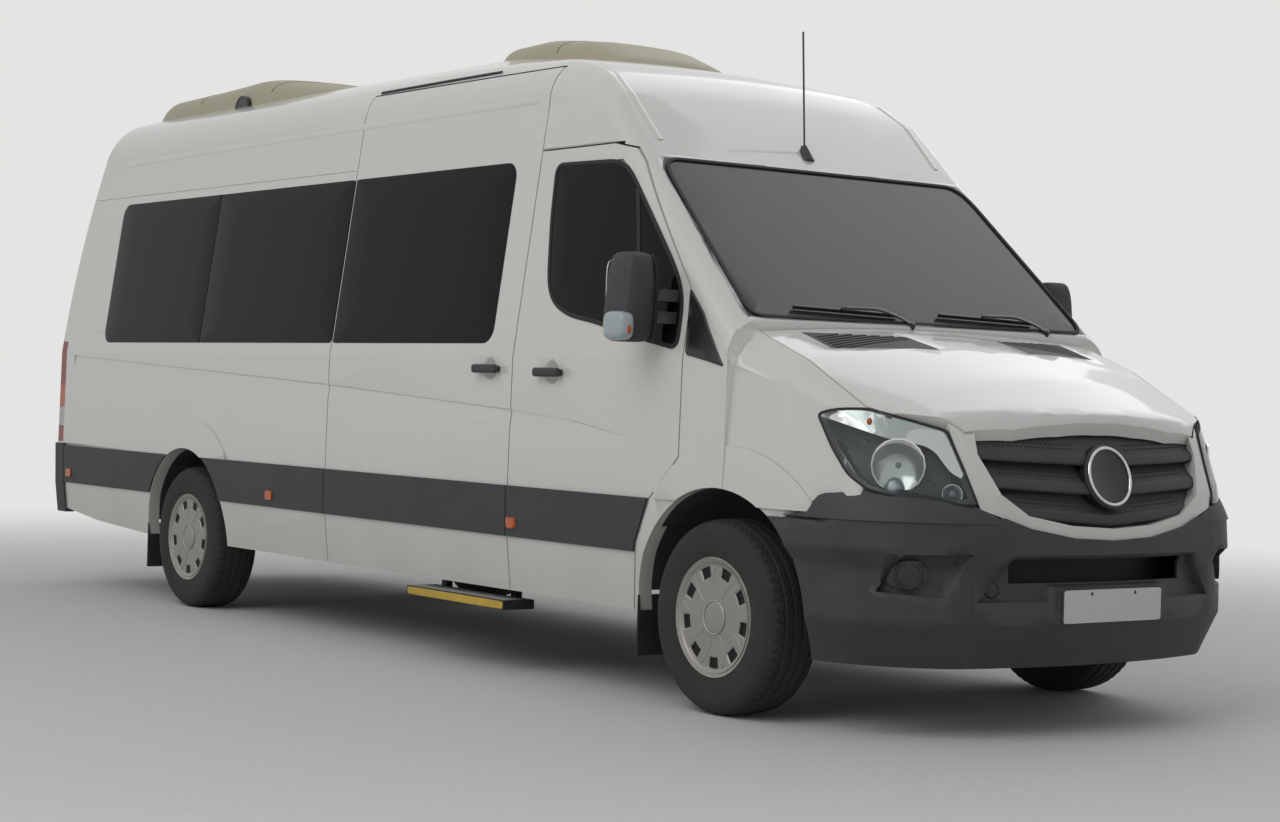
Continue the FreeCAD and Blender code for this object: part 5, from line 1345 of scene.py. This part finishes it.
class MINIBUS_OT_fit_trim(Operator):
    """Roof strip and creases, rear door bar, step edge and ribs, and high brake lamp"""
    bl_idname = "minibus.fit_trim"
    bl_label = "Fit the trim"

    def execute(self, context):
        strip = bead_on(evenly(ROOF_STRIP, 60, 0, False), SIDE, ("roof", "sliding_door"), 0.001,
                        oval(0.007, 0.003, 10, 3.0))
        fit_piece("roof_strip", [strip], "rubber")
        crease = bead_on(evenly(SIDE_CREASE, 160, 0, False), SIDE,
                         ("roof", "body_frame", "sliding_door"), -0.0008, oval(0.016, 0.003, 12))
        spots, normals = laid_on(evenly(FRONT_RIDGE, 40, 6, False), (-0.3, 0.3, -1.0),
                                 ("roof", "windscreen_frame"))
        ridge = carried(spots - 0.0012 * normals, normals, oval(0.014, 0.004, 12))
        fit_piece("roof_creases", both([crease, ridge]), "white_paint")
        bar = ellipsoid((FRONT_AXLE - 5.956, 0.235, 1.16), (0.012, 0.16, 0.022), 5.0)
        fit_piece("rear_door_bar", [bar], "gloss_black", body="rear_door_left")
        edge = ellipsoid((FRONT_AXLE - 1.69, -1.0065, 0.281), (0.374, 0.006, 0.016), 12.0, 17, 64)
        fit_piece("step_yellow_edge", [edge], "yellow")
        self.fit_step_ribs()
        self.fit_brake_lamp()
        return {"FINISHED"}

    def fit_step_ribs(self):
        """Raised ribs along the step's tread, 18 mm apart."""
        x = np.linspace(FRONT_AXLE + STEP_REAR, FRONT_AXLE + STEP_FRONT, 24)
        ribs = [carried(np.stack([x, np.full(24, y), np.full(24, STEP_TOP)], 1), UP,
                        oval(0.004, 0.0025, 8)) for y in np.arange(-0.990, -0.870, 0.018)]
        fit_piece("step_ribs", ribs, "tread_steel")

    def fit_brake_lamp(self):
        """A long red lens on the roof's rear edge."""
        outline = oval(0.11, 0.014, 64, 8.0) + (0.0, 2.452)
        lens = plate_on(outline, REAR, ("roof",), BRAKE_LAMP_LEVELS)
        fit_piece("high_brake_lamp", [lens], "red_lens")


# Stage

BACKDROP = "#E4E4E2"
FLOOR_RADIUS, FLOOR_CORNERS = 60.0, 96
FADE_NEAR, FADE_FAR = 4.0, 11.0
SKY_STRENGTH = 0.52
LAMPS = (("right_lamp", (4.0, -10.0, 9.0), 470.0), ("left_lamp", (-3.0, 9.0, 9.0), 230.0))
LAMP_SIZE, LAMP_AIM = 9.0, (0.0, 0.0, 1.0)


class MINIBUS_OT_stage(Operator):
    """Pale floor, soft light and the camera"""
    bl_idname = "minibus.stage"
    bl_label = "Set the stage"

    def execute(self, context):
        make_floor(context.scene)
        make_light(context.scene)
        make_camera(context.scene)
        context.scene.view_settings.view_transform = "Standard"
        return {"FINISHED"}


def seen_ray(tree):
    """One for a ray from the camera, off a gloss or through glass, else nought."""
    path = add_node(tree, "ShaderNodeLightPath").outputs
    direct = add_node(tree, "ShaderNodeMath", {
        0: path["Is Camera Ray"], 1: path["Is Transmission Ray"]}, operation="MAXIMUM")
    either = add_node(tree, "ShaderNodeMath", {
        0: direct.outputs[0], 1: path["Is Glossy Ray"]}, operation="MAXIMUM")
    return either.outputs[0]


def make_floor(scene):
    """A flat disc of floor, level with the tyres' feet, that fades into the backdrop's tone."""
    angle = np.linspace(0, 2 * math.pi, FLOOR_CORNERS + 1)[:-1]
    ring = np.stack([FLOOR_RADIUS * np.cos(angle), FLOOR_RADIUS * np.sin(angle), 0 * angle], 1)
    mesh = bpy.data.meshes.new("floor")
    mesh.from_pydata(ring.tolist(), [], [list(range(FLOOR_CORNERS))])
    floor = bpy.data.objects.new("floor", mesh)
    scene.collection.objects.link(floor)
    material, tree, shader, place = blank_material("pale_floor")
    grain = add_node(tree, "ShaderNodeTexNoise", {
        "Vector": place, "Scale": 1 / 0.05, "Detail": 4.0})
    mix = add_node(tree, "ShaderNodeMix", {
        "Factor": grain.outputs["Fac"], 6: linear("#D2D1CE"), 7: linear("#DAD9D6")},
        data_type="RGBA")
    wire(tree, shader, {"Roughness": 0.85, "Base Color": mix.outputs[2]})
    reach = add_node(tree, "ShaderNodeVectorMath", {0: place}, operation="LENGTH")
    fade = add_node(tree, "ShaderNodeMapRange", {
        "Value": reach.outputs["Value"], "From Min": FADE_NEAR, "From Max": FADE_FAR},
        interpolation_type="SMOOTHSTEP")
    share = add_node(tree, "ShaderNodeMath", {
        0: fade.outputs["Result"], 1: seen_ray(tree)}, operation="MULTIPLY")
    glow = add_node(tree, "ShaderNodeEmission", {"Color": linear(BACKDROP), "Strength": 1.0})
    blend = add_node(tree, "ShaderNodeMixShader", {
        0: share.outputs[0], 1: shader.outputs["BSDF"], 2: glow.outputs[0]})
    wire(tree, tree.get_output_node("ALL"), {"Surface": blend.outputs[0]})
    mesh.materials.append(material)


def make_light(scene):
    """An even pale sky, with one broad lamp high on the right and a weak one on the left."""
    scene.world = bpy.data.worlds.new("studio")
    scene.world.use_nodes = True
    tree = scene.world.node_tree
    tree.nodes.clear()
    soft = add_node(tree, "ShaderNodeBackground", {
        "Color": linear("#DDE0E3"), "Strength": SKY_STRENGTH})
    seen = add_node(tree, "ShaderNodeBackground", {"Color": linear(BACKDROP), "Strength": 1.0})
    mix = add_node(tree, "ShaderNodeMixShader", {
        0: seen_ray(tree), 1: soft.outputs[0], 2: seen.outputs[0]})
    add_node(tree, "ShaderNodeOutputWorld", {"Surface": mix.outputs[0]})
    for name, spot, power in LAMPS:
        lamp = bpy.data.lights.new(name, "AREA")
        lamp.size = LAMP_SIZE
        lamp.energy = power
        holder = bpy.data.objects.new(name, lamp)
        holder.location = spot
        aim = Vector(LAMP_AIM) - Vector(spot)
        holder.rotation_euler = aim.to_track_quat("-Z", "Y").to_euler()
        scene.collection.objects.link(holder)


def make_camera(scene):
    """The camera's axes: back from the azimuth and elevation, then a roll about it."""
    values = scene.minibus_camera
    az, el, roll = values.azimuth, values.elevation, values.roll
    back = Vector((math.sin(az) * math.cos(el), -math.cos(az) * math.cos(el), math.sin(el)))
    right = (-back).cross(Vector(UP)).normalized()
    down = (-back).cross(right)
    across = math.cos(roll) * right + math.sin(roll) * down
    below = -math.sin(roll) * right + math.cos(roll) * down
    camera = bpy.data.cameras.new("camera")
    camera.lens = values.lens
    camera.sensor_width = 36.0
    camera.sensor_fit = "HORIZONTAL"
    holder = bpy.data.objects.new("camera", camera)
    axes = Matrix((across, -below, back)).transposed()
    holder.matrix_world = Matrix.Translation(values.place) @ axes.to_4x4()
    scene.collection.objects.link(holder)
    scene.camera = holder


class MINIBUS_PT_panel(Panel):
    """Lists the minibus's operators"""
    bl_idname = "MINIBUS_PT_panel"
    bl_label = "Minibus"
    bl_space_type = "VIEW_3D"
    bl_region_type = "UI"
    bl_category = "Minibus"

    def draw(self, context):
        for operator in OPERATORS:
            self.layout.operator(operator.bl_idname)


GROUPS = {"minibus_colours": MinibusColours, "minibus_camera": MinibusCamera}
OPERATORS = (
    MINIBUS_OT_stage, MINIBUS_OT_finish_panels, MINIBUS_OT_fit_glass, MINIBUS_OT_fit_wheels,
    MINIBUS_OT_fit_headlamps, MINIBUS_OT_fit_grille, MINIBUS_OT_fit_bumper, MINIBUS_OT_fit_mirrors,
    MINIBUS_OT_fit_wipers, MINIBUS_OT_fit_seats, MINIBUS_OT_fit_roof, MINIBUS_OT_fit_trim,
)


def register():
    for group in GROUPS.values():
        bpy.utils.register_class(group)
    for name, group in GROUPS.items():
        setattr(bpy.types.Scene, name, PointerProperty(type=group))
    for kind in (*OPERATORS, MINIBUS_PT_panel):
        bpy.utils.register_class(kind)


def unregister():
    for kind in (MINIBUS_PT_panel, *reversed(OPERATORS)):
        bpy.utils.unregister_class(kind)
    for name, group in GROUPS.items():
        delattr(bpy.types.Scene, name)
        bpy.utils.unregister_class(group)


def main():
    register()
    bpy.ops.minibus.stage()
    bpy.ops.minibus.finish_panels()
    bpy.ops.minibus.fit_glass()
    bpy.ops.minibus.fit_wheels()
    bpy.ops.minibus.fit_headlamps()
    bpy.ops.minibus.fit_grille()
    bpy.ops.minibus.fit_bumper()
    bpy.ops.minibus.fit_mirrors()
    bpy.ops.minibus.fit_wipers()
    bpy.ops.minibus.fit_seats()
    bpy.ops.minibus.fit_roof()
    bpy.ops.minibus.fit_trim()


if __name__ == "__main__":
    main()
